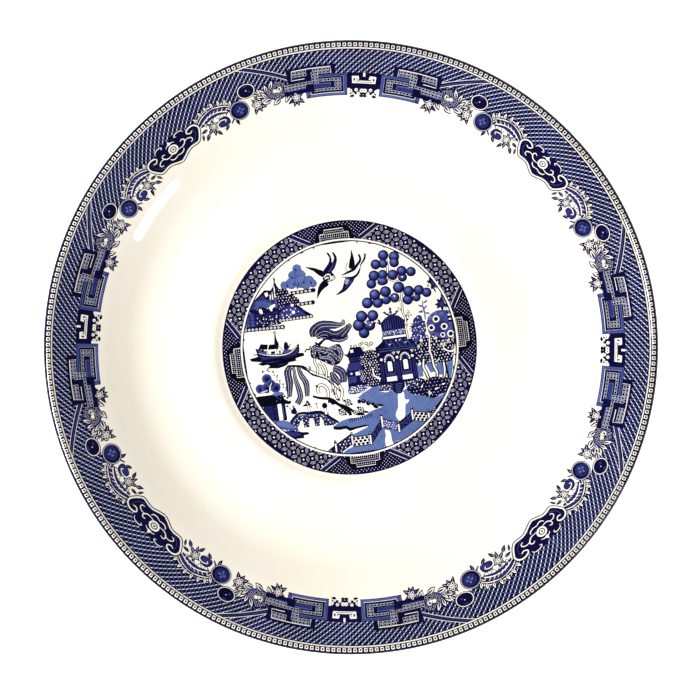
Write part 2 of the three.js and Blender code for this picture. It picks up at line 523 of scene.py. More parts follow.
class Artwork:
    # flat shapes in millimetres, each one painted over those before it; "bare" paints the ink away
    def __init__(self, unitWidth=1.0, longest=1000.0, seed=1):
        self.unitWidth = unitWidth
        self.longest = longest
        self.chance = random.Random(seed)
        self.points = []
        self.faces = []
        self.tones = []

    def placed(self, points):
        return [Vector((x * self.unitWidth, y)) for x, y in points]

    def add(self, tone, outline):
        pairs = list(zip(outline, outline[1:] + outline[:1]))
        area = sum(a.x * b.y - b.x * a.y for a, b in pairs) / 2
        if abs(area) < flattest:
            return
        split = []
        for a, b in pairs:
            count = max(1, math.ceil((b - a).length / self.longest))
            split += [a.lerp(b, i / count) for i in range(count)]
        first = len(self.points)
        self.points += split if area > 0 else split[::-1]
        self.faces.append(list(range(first, len(self.points))))
        self.tones.append(tone)

    def shape(self, tone, points):
        self.add(tone, self.placed(points))

    def blob(self, tone, points, steps=4):
        self.add(tone, smooth(self.placed(points), True, steps))

    def box(self, tone, left, low, right, high):
        self.shape(tone, [(left, low), (right, low), (right, high), (left, high)])

    def stroke(self, tone, path, widths):
        sides = self.sidesOf(path, widths)
        for (a, b), (c, d) in zip(sides, sides[1:]):
            self.add(tone, [a, b, d, c])

    def sidesOf(self, path, widths):
        widths = widths if isinstance(widths, tuple) else (widths, widths)
        sides = []
        for i, here in enumerate(path):
            way = (path[min(i + 1, len(path) - 1)] - path[max(i - 1, 0)]).normalized()
            width = float(np.interp(i / (len(path) - 1), np.linspace(0, 1, len(widths)), widths))
            reach = Vector((-way.y, way.x)) * width / 2
            sides.append((here + reach, here - reach))
        return sides

    def line(self, tone, points, widths, steps=4):
        # a stroke whose width runs through the given widths
        self.stroke(tone, smooth(self.placed(points), False, steps), widths)

    def strand(self, points, widths, flows):
        # a broad stroke with thin lines flowing along it, each one at a share of the way across
        path = smooth(self.placed(points), False, 5)
        self.stroke("deep", path, widths)
        sides = self.sidesOf(path, widths)
        for tone, share, width in flows:
            self.stroke(tone, [b.lerp(a, share) for a, b in sides], (0.1, width, 0.1))

    def annulus(self, tone, inner, outer, sides=144):
        turns = [2 * math.pi * i / sides for i in range(sides + 1)]
        ways = [Vector((math.cos(a), math.sin(a))) for a in turns]
        for a, b in zip(ways, ways[1:]):
            self.add(tone, [a * inner, a * outer, b * outer, b * inner])

    def bordered(self, edgeTone, tone, points, width, edge, steps=4):
        self.line(edgeTone, points, width + 2 * edge, steps)
        self.line(tone, points, width, steps)

    def oval(self, tone, x, y, across, up, sides=12, turn=0.0):
        cosine, sine = math.cos(math.radians(turn)), math.sin(math.radians(turn))
        outline = []
        for i in range(sides):
            a = 2 * math.pi * i / sides
            p, q = across * math.cos(a), up * math.sin(a)
            offset = Vector((p * cosine - q * sine, p * sine + q * cosine))
            outline.append(Vector((x * self.unitWidth, y)) + offset)
        self.add(tone, outline)

    def leaf(self, tone, x, y, length, width, turn, vein=None):
        # a pointed leaf growing from a place, in a direction given in degrees
        angle = math.radians(turn)
        way, across = Vector((math.cos(angle), math.sin(angle))), Vector((-math.sin(angle), math.cos(angle)))
        root = Vector((x * self.unitWidth, y))
        shares = (0.15, 0.35, 0.6, 0.85)
        spine = [root + way * length * t for t in shares]
        swells = [across * width / 2 * math.sin(math.pi * t ** 0.8) for t in shares]
        upper = [point + swell for point, swell in zip(spine, swells)]
        lower = [point - swell for point, swell in zip(spine, swells)]
        self.add(tone, [root] + upper + [root + way * length] + lower[::-1])
        if vein:
            tip = root + way * length * 0.85
            self.add(vein, [root + across * 0.07, root - across * 0.07, tip])

    def petals(self, tone, x, y, reach, count, across, up, turn=0.0):
        for i in range(count):
            a = math.radians(turn + 360 * i / count)
            place = (x + reach * math.cos(a) / self.unitWidth, y + reach * math.sin(a))
            self.oval(tone, *place, across, up, 8, math.degrees(a))

    def scatter(self, tone, region, pitch, size, sides=6, jitter=0.12):
        # staggered rows of dots inside a region
        low, high = min(p[1] for p in region), max(p[1] for p in region)
        left, right = min(p[0] for p in region), max(p[0] for p in region)
        row, y = 0, low
        while y <= high:
            x = left + (pitch / 2 / self.unitWidth if row % 2 else 0)
            while x <= right:
                dx, dy = self.chance.uniform(
                    -jitter, jitter,
                ) * pitch, self.chance.uniform(-jitter, jitter) * pitch
                if inside((x + dx / self.unitWidth, y + dy), region):
                    grown = size * self.chance.uniform(0.8, 1.2)
                    self.oval(tone, x + dx / self.unitWidth, y + dy, grown, grown, sides)
                x += pitch / self.unitWidth
            y += pitch * staggeredRise
            row += 1

    def hatch(self, tone, region, turn, pitch, width):
        # straight strokes across a region
        outline = self.placed(region)
        angle = math.radians(turn)
        way, across = Vector((math.cos(angle), math.sin(angle))), Vector((-math.sin(angle), math.cos(angle)))
        heights = [p.dot(across) for p in outline]
        height = min(heights) + pitch / 2
        while height < max(heights):
            crossings = []
            for a, b in zip(outline, outline[1:] + outline[:1]):
                p, q = a.dot(across) - height, b.dot(across) - height
                if (p > 0) != (q > 0):
                    crossings.append(a.lerp(b, p / (p - q)).dot(way))
            crossings.sort()
            for start, end in zip(crossings[::2], crossings[1::2]):
                if end - start > width:
                    ends = [way * start + across * height, way * end + across * height]
                    side = across * width / 2
                    self.add(tone, [ends[0] - side, ends[1] - side, ends[1] + side, ends[0] + side])
            height += pitch

    def cut(self, extra=()):
        # splits everything where it overlaps and keeps the topmost tone of each triangle
        points = self.points + [Vector(p) for p in extra]
        places, _, triangles, _, _, origins = delaunay_2d_cdt(points, [], self.faces, 1, mergeReach)
        outlines = [[self.points[i] for i in face] for face in self.faces]
        parts = {tone: [] for tone in inkLooks}
        for triangle, origin in zip(triangles, origins):
            middle = (places[triangle[0]] + places[triangle[1]] + places[triangle[2]]) / 3
            top = next((i for i in sorted(origin, reverse=True) if inside(middle, outlines[i])), None)
            if top is not None and self.tones[top] != "bare":
                parts[self.tones[top]].append(triangle)
        return np.array([(p.x, p.y) for p in places]), parts


borderForm = {
    "halfAngle": 43.2,
    "latticeCells": 37,
    "latticeRow": 1.14,
    "latticeTop": 129.7,
    "latticeFoot": 112.9,
    "dash": (0.66, 0.2),
    "crossLine": 0.115,
    "degreeWidth": 2.094,
    "longestEdge": 2.2,
    "gridDegrees": (0.6, 43.2, 1.1),
    "gridRadii": (109.5, 129.5, 2.2),
    "seed": 11,
}


def drawLattice(art, slant):
    # diamonds between crossing lines, each with a white dash leaning the same way all round the plate
    half, cells = borderForm["halfAngle"], borderForm["latticeCells"]
    top, step = borderForm["latticeTop"], borderForm["latticeRow"]
    pitch = half / cells
    art.box("deep", 0, borderForm["latticeFoot"], half, top)
    rows = int((top - borderForm["latticeFoot"]) / step)

    def clipped(points):
        return [(min(max(a, 0.0), half), r) for a, r in points]

    run, fall = pitch / 4, step / 2 * slant

    def stroke(tone, x, y, across, up, half):
        ends = [(x - across, y - up - half), (x + across, y + up - half)]
        art.shape(tone, clipped(ends + [(x + across, y + up + half), (x - across, y - up + half)]))

    crossings = []
    for row in range(rows):
        for i in range(cells + 1):
            a = (i + 0.5 * (row % 2)) * pitch
            if a < half + pitch / 4:
                crossings.append((a, top - step * (row + 0.75)))
    dashLength, dashHalf = borderForm["dash"]
    for a, r in crossings:
        stroke("pale", a + run, r + fall, run, -fall, step * borderForm["crossLine"])
    for a, r in crossings:
        stroke("misty", a, r, run * dashLength, fall * dashLength, step * dashHalf)


keyShape = {
    "wide": 0.6,
    "high": 1.1,
    "stepAcross": 0.78,
    "stepDown": 1.32,
    "inset": (0.41, 0.4),
    "barTop": 0.44,
}


def keySquare(art, a, r, wide=keyShape["wide"], high=keyShape["high"]):
    across, up = wide * keyShape["inset"][0], high * keyShape["inset"][1]
    art.box("misty", a - wide / 2, r - high / 2, a + wide / 2, r + high / 2)
    art.box("deep", a - across, r - up, a + across, r + up)


def keyRow(art, a, r, across, down):
    # rows of squares, joined along their feet
    halfWide, halfHigh = keyShape["wide"] / 2, keyShape["high"] / 2
    for i in range(across):
        for j in range(down):
            here, following = (a + n * keyShape["stepAcross"] for n in (i, i + 1))
            level = r - j * keyShape["stepDown"]
            keySquare(art, here, level)
            if i + 1 < across:
                top = level - keyShape["barTop"]
                art.box("misty", here + halfWide, level - halfHigh, following - halfWide, top)


def keyRows(art, rows):
    for row in rows:
        keyRow(art, *row)


def drawFret(art):
    # the box on the middle line, with its squared hook and a tick above it
    art.box("deep", 0, 112.7, 3.75, 119.4)
    art.box("bare", 0, 117.6, 0.22, 119.3)
    art.line("bare", [(0, 115.3), (2.4, 115.3), (2.4, 117.4), (1.3, 117.4), (1.3, 116.3)], 1.15, 1)
    art.line("royal", [(0, 115.3), (1.9, 115.3)], 0.25, 1)
    art.oval("bare", 1.75, 116.3, 0.35, 0.8)
    # white flowers on a dark band under the box
    art.box("deep", 0, 109.9, 3.6, 112.7)
    for a, r, size in (
        (0.35, 111.6, 1), (1.6, 111.9, 0.85), (2.9, 111.4, 1), (1.1, 110.4, 0.8), (2.3, 110.1, 0.8),
    ):
        art.oval("bare", a, r, size * 0.95, size * 0.85, 10)
        art.oval("deep", a, r, size * 0.3, size * 0.28, 6)
    art.box("bare", 3, 109.8, 3.7, 112.6)
    art.leaf("deep", -0.1, 109.3, 2.2, 1.3, 0)
    art.leaf("deep", 1.9, 109.3, 2.6, 1.2, -6)


def drawPanel(art):
    # a bevelled panel with keys on it, half behind a dark box
    art.box("deep", 3.55, 109.6, 12.75, 119.1)
    art.shape("middle", [(3.65, 109.9), (4.4, 111.3), (4.4, 118), (3.65, 118.8)])
    art.line("bare", [(4.42, 111.3), (4.42, 117.9)], 0.22, 1)
    art.shape("royal", [(3.65, 118.9), (4.4, 117.9), (10, 117.9), (10, 118.9)])
    art.line("pale", [(4.2, 118.1), (10, 118.1)], 0.25, 1)
    art.line("pale", [(3.7, 118.85), (10, 118.85)], 0.2, 1)
    art.shape("middle", [(3.7, 109.8), (12.3, 109.8), (11.6, 111.2), (4.4, 111.2)])
    art.line("bare", [(4.2, 111), (11.7, 111)], 0.22, 1)
    art.line("pale", [(3.9, 110.3), (12, 110.3)], 0.35, 1)
    art.shape("middle", [(12.6, 109.9), (12.6, 115), (11.8, 114.6), (11.8, 111.2)])
    art.line("pale", [(12.5, 110.2), (12.5, 114.8)], 0.2, 1)
    art.line("bare", [(11.7, 111.2), (11.5, 113.9)], 0.3, 1)
    art.box("deep", 4.4, 111.2, 11.6, 117.8)
    art.box("middle", 7.1, 113.7, 12.6, 115.4)
    art.box("royal", 7.3, 113.9, 12.4, 114.9)
    art.line("pale", [(7.1, 115.3), (12.4, 115.3)], 0.2, 1)
    keyRows(art, ((5.2, 116.7, 6, 1), (5.2, 115.4, 2, 2), (5.2, 112.6, 8, 1)))
    # the dark box
    art.box("deep", 6, 119, 16.1, 123.4)
    art.box("deep", 10.9, 116.9, 16.1, 119.1)
    art.line("bare", [(7, 119.3), (7, 122.3), (15, 122.3), (15.35, 118.4), (12.6, 118.3)], 0.32, 1)
    keyRows(art, ((7.6, 121.5, 4, 2), (10.4, 121.5, 1, 1), (10, 120.2, 2, 4), (12.4, 121.4, 4, 2)))
    # keys running on under the box, and the dark bar under them
    art.box("deep", 10.8, 112.2, 17.4, 117)
    keyRows(art, ((11.3, 116.3, 8, 1), (12.9, 115, 6, 1)))
    art.line("middle", [(12.6, 114.1), (16.4, 114.1)], 0.35, 1)


def drawBar(art):
    # a slanting bar between thin pale lines
    art.shape("deep", [(15.7, 118.8), (16.1, 118.8), (25.3, 129.7), (23.4, 129.7), (15.7, 120.8)])
    art.shape("royal", [(16, 119.6), (16.2, 119.6), (24.7, 129.7), (24.1, 129.7), (16, 120.3)])
    art.line("bare", [(16, 118.95), (25.15, 129.7)], 0.22, 1)
    art.line("bare", [(15.7, 120.7), (23.5, 129.7)], 0.22, 1)


def drawCurl(art):
    # rings of small squares round a white comma
    a, r = 18.7, 116.1
    art.oval("deep", a, r, 5.3, 4.25, 28)
    art.oval("royal", a + 0.25, r, 4.9, 4, 24)
    art.oval("deep", a - 0.05, r + 0.05, 4.6, 3.75, 24)
    for reach, count in ((0.83, 15), (0.52, 9)):
        for i in range(count):
            angle = 2 * math.pi * i / count
            across, up = reach * 4.7 * math.cos(angle), reach * 3.75 * math.sin(angle)
            keySquare(art, a + across / art.unitWidth, r + up, 0.5, 0.85)
    art.blob("bare", [
        (18.2, 116), (18.6, 115.3), (19.4, 115.3), (19.6, 116.1), (19.2, 116.8), (18.8, 116.5),
    ])
    art.line("bare", [
        (18.6, 116.7), (18.1, 117), (17.8, 116.4), (18, 115.6), (18.7, 114.9),
    ], (0.25, 0.5, 0.25))
    art.oval("deep", 18.75, 116.1, 0.3, 0.25, 6)
    art.line("middle", [(20.9, 117.6), (21.1, 116.2), (20.8, 114.6), (20, 113.2)], (0.3, 0.8, 0.3))
    # white flame leaves over it and zigzag leaves under it
    for a, r, length, width, turn in (
        (20.1, 117.2, 3.9, 1.7, 118), (20.8, 116.4, 3.4, 1.6, 85), (21.3, 115, 4, 1.9, 62),
        (16.4, 113.2, 3.6, 1.7, -55), (18.3, 112.4, 4.2, 1.9, -28), (20.3, 112.9, 4.6, 2, -8),
        (21.6, 114.2, 4.6, 1.8, 22), (22.6, 116.4, 4.4, 1.9, 38), (21, 113.6, 4, 1.5, 58),
    ):
        art.leaf("deep", a, r, length + 0.7, width + 0.75, turn)
        art.leaf("bare", a + 0.08, r, length, width * 0.86, turn)
        art.leaf("royal", a + 0.08, r, length * 0.75, width * 0.45, turn)
        art.leaf("deep", a + 0.08, r, length * 0.8, width * 0.12, turn)


def drawFlower(art, a, r, size, leaves):
    for turn, reach, width in leaves:
        art.leaf("deep", a, r, reach * 1.1, width * 1.15, turn)
        art.leaf("royal", a, r, reach * 0.85, width * 0.6, turn)
        art.leaf("bare", a, r, reach * 0.95, width * 0.12, turn)
    art.petals("deep", a, r, size * 0.58, 5, size * 0.58, size * 0.5, 15)
    art.petals("bare", a, r, size * 0.58, 5, size * 0.36, size * 0.3, 15)
    art.petals("royal", a, r, size * 0.6, 5, size * 0.22, size * 0.17, 15)
    art.oval("bare", a, r, size * 0.26, size * 0.26, 8)
    art.oval("deep", a, r, size * 0.14, size * 0.14, 6)


def drawCoins(art):
    art.oval("deep", 24.85, 120.1, 4.15, 3.4, 32)
    art.oval("bare", 24.85, 120.1, 3.75, 3.1, 32)
    art.oval("deep", 24.85, 120.1, 3.4, 2.8, 28)
    art.oval("royal", 24.85, 122.1, 1, 0.4, 12)
    art.oval("royal", 24.3, 119.4, 0.7, 0.5, 10, 20)
    art.oval("bare", 24.85, 120.3, 0.28, 0.24, 6)
    art.oval("deep", 27.55, 113.5, 4.55, 4.2, 32)
    art.oval("bare", 27.55, 113.5, 4.2, 3.87, 32)
    art.oval("royal", 27.55, 113.5, 4.02, 3.7, 32)
    art.oval("deep", 27.65, 113.4, 3.5, 3.2, 28)
    art.oval("royal", 27.45, 113.5, 2.9, 2.6, 28)
    for turn in range(0, 360, 30):
        art.leaf("deep", 27.4, 113.4, 3, 0.5, turn + 15)
    art.oval("middle", 27.35, 113.3, 1.7, 1.6, 20)
    for turn in (0, 90, 180, 270):
        art.leaf("pale", 27.35, 113.5, 1.8, 0.9, turn)
        art.leaf("deep", 27.35, 113.5, 2.4, 0.6, turn + 45)
    art.oval("royal", 27.35, 113.5, 0.5, 0.5, 10)


def drawAcanthus(art):
    # a serrated leaf arching over a small spiral
    crest = [
        (28.7, 115.8), (29.1, 117), (29.9, 118.3), (31, 119.3), (32.3, 119.8), (33.6, 119.7),
        (34.9, 119.1), (36.1, 118), (37, 116.7),
    ]
    spine = [(28.9, 115.9), (29.6, 117.7), (31.4, 119.2), (33.2, 119.5), (35, 118.7), (36.4, 117)]
    for i, (a, r) in enumerate(crest):
        art.leaf("deep", a, r, 3.3, 2, 130 - 10 * i)
    art.line("deep", spine, (1.2, 2, 1.6), 5)
    art.line("bare", spine, (0.2, 0.5, 0.3), 5)
    for i, (a, r) in enumerate(crest):
        art.leaf("bare", a, r, 2.6, 1.15, 130 - 10 * i)
        art.leaf("royal", a, r, 1.9, 0.35, 130 - 10 * i)
    art.line("deep", [
        (29.5, 115), (30.2, 116.8), (31.8, 118.3), (33.3, 118.6), (34.9, 117.8), (36.3, 116.2),
    ], (0.8, 2, 1), 5)
    art.line("royal", [
        (29.6, 115.4), (30.3, 116.9), (31.8, 118.3), (33.3, 118.6), (34.9, 117.8), (36, 116.5),
    ], (0.5, 1.4, 0.6), 5)
    art.line("royal", [
        (29.9, 114.9), (31.6, 116.3), (33.3, 116.6), (34.9, 116), (36.1, 115.1),
    ], (0.6, 1.5, 0.8), 5)
    for i in range(7):
        a, fall = 30.1 + 0.85 * i, 0.3 * (i - 3) ** 2 * 0.55
        art.line("bare", [
            (a + 0.15, 117.2 - fall), (a - 0.1, 118.0 - fall), (a - 0.5, 118.6 - fall),
        ], (0.5, 0.3, 0.1), 3)
    zigzag = [
        (29.9, 115.2), (30.9, 113.7), (31.2, 116.2), (32.2, 114.3), (32.8, 116.5), (33.7, 114.4),
        (34.3, 116.4), (35.2, 114.2), (35.8, 115.8),
    ]
    art.line("deep", zigzag, 0.42, 1)
    whorl = [
        (29.3, 114.2), (29.7, 111.4), (31, 109.9), (32.6, 110.3), (33.1, 112.1), (32.1, 113.3),
        (31, 112.7), (31.3, 111.8),
    ]
    art.oval("deep", 31.5, 111.9, 2.9, 2.6, 20)
    art.oval("royal", 31.5, 111.9, 2.4, 2.1, 20)
    art.line("bare", whorl, (0.3, 0.5, 0.5, 0.4, 0.3), 5)
    art.line("royal", [(29, 114.6), (29.1, 112), (30.2, 109.9)], (0.4, 0.9, 0.5))
    drawFlower(
        art, 33.9, 112.7, 1.9,
        ((100, 3, 1.3), (50, 3.2, 1.2), (-30, 4.2, 1.5), (-75, 4, 1.5), (160, 2.6, 1.2)),
    )
    for a, r, length, width, turn, tone in (
        (29, 111, 3.3, 1.6, -100, "deep"), (33.8, 110.6, 3.5, 1.6, -118, "deep"),
        (35.4, 111.1, 3.6, 1.7, -42, "royal"),
        (35.2, 113.2, 3.6, 1.4, -8, "deep"), (36.6, 112.3, 3.2, 1.2, -62, "deep"),
        (30.8, 110.4, 3.4, 1.5, -40, "deep"),
    ):
        art.leaf("deep", a, r, length, width, turn)
        art.leaf(tone, a, r, length * 0.9, width * 0.6, turn, "bare")


def drawCartouche(art):
    # half of a shield with hooked corners, scrolls and a rosette on the middle line
    half = borderForm["halfAngle"]
    body = [
        (half, 108.6), (41.9, 109.5), (40.3, 111), (38.6, 110.8), (37.6, 112), (36.6, 115),
        (36.4, 116.8),
        (36.9, 118.4), (37.9, 119.1), (39.1, 118.6), (39.5, 119.7), (40.4, 120.6), (41.8, 120.5),
        (42.4, 119.9), (half, 119.9),
    ]
    art.shape("deep", body)
    edge = [
        (half, 108.9), (42.2, 109.6), (40.9, 110.8), (39.9, 111.2), (38.3, 111.1), (37.5, 112.4),
        (36.7, 115.3), (36.7, 116.9),
        (37.2, 118.1), (38.1, 118.5), (39, 117.9), (39.2, 116.9), (38.6, 116.1), (38, 116.6),
    ]
    art.line("deep", edge, (1.5, 1.5, 1.5, 1.3, 0.9))
    art.line("bare", edge, (0.64, 0.64, 0.68, 0.6, 0.36))
    art.line("bare", [
        (39.6, 118.6), (39.8, 119.5), (40.5, 120), (41.3, 119.8), (41.6, 119.1), (41.2, 118.8),
    ], (0.2, 0.35, 0.4, 0.2))
    art.line("bare", [(half, 118), (42.6, 118.2), (42.1, 117.6)], (0.5, 0.35, 0.2))
    art.shape("bare", [(half, 119.6), (half - 0.4, 118.3), (half, 117.9)])
    art.line("bare", [
        (42.4, 113.9), (41.3, 113.8), (40.6, 114.5), (40.3, 115.7), (40.7, 116.4), (41.2, 116),
    ], (0.25, 0.42, 0.5, 0.42, 0.25))
    art.line("bare", [
        (40.5, 114.9), (39.6, 115.1), (38.9, 114.3), (39, 113.3), (39.5, 113),
    ], (0.25, 0.42, 0.42, 0.25))
    art.line("bare", [(41.4, 113), (41.6, 112.2), (42.3, 111.7), (half, 112.1)], (0.25, 0.42, 0.42, 0.3))
    art.line("middle", [(37.6, 117.2), (37.9, 114.2), (39.2, 112), (41.4, 111.2)], (0.12, 0.2, 0.12))

    def halfRing(outer, inner, tone):
        arc = [math.radians(90 + 180 * i / 10) for i in range(11)]
        ring = [(half + outer[0] * math.cos(t), 115.3 + outer[1] * math.sin(t)) for t in arc]
        ring += [(half + inner[0] * math.cos(t), 115.3 + inner[1] * math.sin(t)) for t in reversed(arc)]
        art.shape(tone, ring)

    halfRing((1.12, 2), (0.72, 1.3), "bare")
    halfRing((0.5, 0.9), (0.22, 0.4), "bare")


def drawBorderHalf(slant):
    art = Artwork(borderForm["degreeWidth"], borderForm["longestEdge"], borderForm["seed"])
    drawLattice(art, slant)
    art.shape("bare", [
        (17, 112.8), (20.9, 114.5), (21.3, 117.8), (22.3, 118.6), (23.4, 117.6), (25, 116.9),
        (26.6, 117.6), (28.6, 117.4),
        (29.3, 119.2), (30.6, 119.9), (33.2, 121), (35.4, 119.8), (37, 117.2), (38, 112.8),
    ])
    drawFret(art)
    drawBar(art)
    drawCurl(art)
    drawPanel(art)
    drawFlower(
        art, 15, 110.9, 2.1,
        ((-140, 4.2, 1.9), (-100, 3.6, 1.7), (-65, 3.9, 1.7), (-25, 4.4, 1.6),
         (20, 3, 1.2), (160, 3.4, 1.4)),
    )
    drawAcanthus(art)
    drawCoins(art)
    drawFlower(
        art, 23.6, 112.8, 2.3,
        ((-150, 4.2, 1.9), (-110, 3.6, 1.8), (-60, 4.2, 1.8), (150, 3.2, 1.3),
         (60, 3.4, 1.3), (100, 3.6, 1.2)),
    )
    drawCartouche(art)
    spread = [
        (a * borderForm["degreeWidth"], r)
        for a in np.arange(*borderForm["gridDegrees"])
        for r in np.arange(*borderForm["gridRadii"])
    ]
    return art.cut(spread)


printLift = 0.03
weldCells = 2000  # to each millimetre
smallestTurn = 1e-7
stripAngles = {  # clockwise from the top, in degrees: the middle line of each strip and where it ends
    "top": (2.85, 318.1 - 360, 46.3),
    "right": (90.6, 46.3, 133.8),
    "bottom": (181.3, 133.8, 227.7),
    "left": (274.4, 227.7, 318.1),
}


def filmMesh(name, parts, finish):
    # joins flat parts into one mesh lying on the face, with the face's own normals
    flats, faces, count = [], [], 0
    for flat, triangles in parts:
        used, renumbered = np.unique(np.array(triangles), return_inverse=True)
        flats.append(flat[used])
        faces.append(renumbered.reshape(-1, 3) + count)
        count += len(used)
    flat, triangles = np.vstack(flats), np.vstack(faces)
    keys = np.round(flat * weldCells).astype(np.int64)
    _, first, welded = np.unique(keys, axis=0, return_index=True, return_inverse=True)
    flat, triangles = flat[first], welded.reshape(-1)[triangles]
    a, b, c = (triangles[:, i] for i in range(3))
    triangles = triangles[(a != b) & (b != c) & (a != c)]
    corners = flat[triangles]
    turn = np.cross(corners[:, 1] - corners[:, 0], corners[:, 2] - corners[:, 0])
    triangles = triangles[np.abs(turn) > smallestTurn]
    turn = turn[np.abs(turn) > smallestTurn]
    triangles[turn < 0] = triangles[turn < 0][:, ::-1]
    places, normals = laidOn(flat, printLift)
    mesh = bpy.data.meshes.new(name)
    mesh.from_pydata(places.tolist(), [], triangles.tolist())
    mesh.polygons.foreach_set("use_smooth", [True] * len(mesh.polygons))
    mesh.normals_split_custom_set_from_vertices(normals.tolist())
    mesh.materials.append(finish)
    return mesh


def aroundPlate(local, middle, end):
    # local is (millimetres across, radius); the half strip is eased to reach from middle to end
    half = borderForm["halfAngle"]
    across = local[:, 0] / borderForm["degreeWidth"]
    across = across + (abs(end - middle) - half) * (across / half) ** 3
    angles = np.radians(90.0 - middle - math.copysign(1, end - middle) * across)
    return np.column_stack([local[:, 1] * np.cos(angles), local[:, 1] * np.sin(angles)])


rightHalf, leftHalf = drawBorderHalf(1), drawBorderHalf(-1)
borderTones = [tone for tone in inkLooks if rightHalf[1][tone]]
for side, (middle, before, after) in stripAngles.items():
    for tone in borderTones:
        parts = [
            (aroundPlate(rightHalf[0], middle, after), rightHalf[1][tone]),
            (aroundPlate(leftHalf[0], middle, before), leftHalf[1][tone]),
        ]
        name = "border_" + side + "_" + tone
        mesh = filmMesh(name, parts, inkMaterials[tone])
        nodes = ["border_print_" + side] if tone == "deep" else []
        newPiece(name, mesh, "cobalt_print", *nodes)
    print("border strip", side, "laid")


keyForm = {
    "count": 351,
    "inner": 129.9,
    "outer": 133.35,
    "lineInner": 129.95,
    "lineOuter": 130.25,
    "squareInner": 130.7,
    "squareOuter": 132.25,
    "squareHalf": 0.33,
    "stroke": 0.38,
    "notch": (1.5, 1.4),
    "longestEdge": 0.4,
    "gridDegrees": (-0.48, 0.49, 0.24),
    "gridRadii": (130.1, 133.3, 0.2),
}


def drawKey():
    # one key of the ring at the lip, and the thin white line inside the ring
    form = keyForm
    half = 180 / form["count"]
    widthPerDegree = math.radians(form["squareOuter"])
    art = Artwork(widthPerDegree, form["longestEdge"])
    art.box("deep", -half, form["inner"], half, form["outer"])
    art.box("bare", -half, form["lineInner"], half, form["lineOuter"])
    low, high, side = form["squareInner"], form["squareOuter"], form["squareHalf"]
    stroke = form["stroke"]
    strokeAngle = stroke / widthPerDegree
    art.box("bare", -side, low, side, high)
    art.box("deep", -side + strokeAngle, low + stroke, side - strokeAngle, high - stroke)
    across, up = form["notch"]
    art.box("deep", side - across * strokeAngle, low + stroke, side, low + up * stroke)
    spread = [
        (a * widthPerDegree, r)
        for a in np.arange(*form["gridDegrees"])
        for r in np.arange(*form["gridRadii"])
    ]
    flat, parts = art.cut(spread)
    angles, radii = np.radians(flat[:, 0] / widthPerDegree), flat[:, 1]
    return [(np.column_stack([radii * np.cos(angles), radii * np.sin(angles)]), parts["deep"])]


def ringTree():
    # copies of one flat unit, turned step by step round the axis
    tree = bpy.data.node_groups.new("ring", "GeometryNodeTree")
    sockets = tree.interface
    sockets.new_socket("Unit", in_out="INPUT", socket_type="NodeSocketGeometry")
    sockets.new_socket("Copies", in_out="INPUT", socket_type="NodeSocketInt")
    sockets.new_socket("Merge distance", in_out="INPUT", socket_type="NodeSocketFloat")
    sockets.new_socket("Finish", in_out="INPUT", socket_type="NodeSocketMaterial")
    sockets.new_socket("Ring", in_out="OUTPUT", socket_type="NodeSocketGeometry")
    wiring = Wiring(tree)
    given = wiring.node("NodeGroupInput").socket.node
    unit, copies, merge, finish = [Wire(wiring, given.outputs[i]) for i in range(4)]
    points = wiring.node("GeometryNodePoints", None, {"Count": copies, "Position": (0, 0, 0)})
    angle = wiring.node("GeometryNodeInputIndex") * (2 * math.pi) / copies
    turn = wiring.node("ShaderNodeCombineXYZ", None, {2: angle})
    ring = wiring.node(
        "GeometryNodeInstanceOnPoints", None, {"Points": points, "Instance": unit, "Rotation": turn},
    )
    real = wiring.node("GeometryNodeRealizeInstances", None, {0: ring})
    joined = wiring.node("GeometryNodeMergeByDistance", None, {"Geometry": real, "Distance": merge})
    finished = wiring.node("GeometryNodeSetMaterial", None, {0: joined, "Material": finish})
    wiring.node("NodeGroupOutput", None, {0: finished})
    return tree


def settleNormals(mesh):
    # gives every point of a film the normal of the face under it
    places = np.empty(len(mesh.vertices) * 3)
    mesh.vertices.foreach_get("co", places)
    flat = places.reshape(-1, 3)[:, :2] / mm
    mesh.polygons.foreach_set("use_smooth", [True] * len(mesh.polygons))
    mesh.normals_split_custom_set_from_vertices(laidOn(flat, 0)[1].tolist())


keyUnit = filmMesh("keyUnit", drawKey(), inkMaterials["deep"])
keyValues = {"Copies": keyForm["count"], "Merge distance": weldDistance, "Finish": inkMaterials["deep"]}
keyMesh = runTree("border_key_ring", keyUnit, ringTree(), keyValues)
settleNormals(keyMesh)
newPiece("border_key_ring", keyMesh, "cobalt_print")
print("key ring", len(keyMesh.polygons), "faces")


medallionForm = {
    "turn": 8.0,
    "outer": 55.4,
    "inner": 47.35,
    "lineOuter": 46.62,
    "lineInner": 46.12,
    "weave": 3.8,
    "weaveLeaf": (0.6, 1.22),
    "weaveSquare": 0.46,
    "speckle": 1.6,
    "speckleHalf": 0.2,
    "longestEdge": 4.0,
    "gridStep": 4,
    "gridReach": 55,
    "seed": 7,
}


def quarterTurned(points, quarter):
    for _ in range(quarter):
        points = [(y, -x) for x, y in points]
    return points


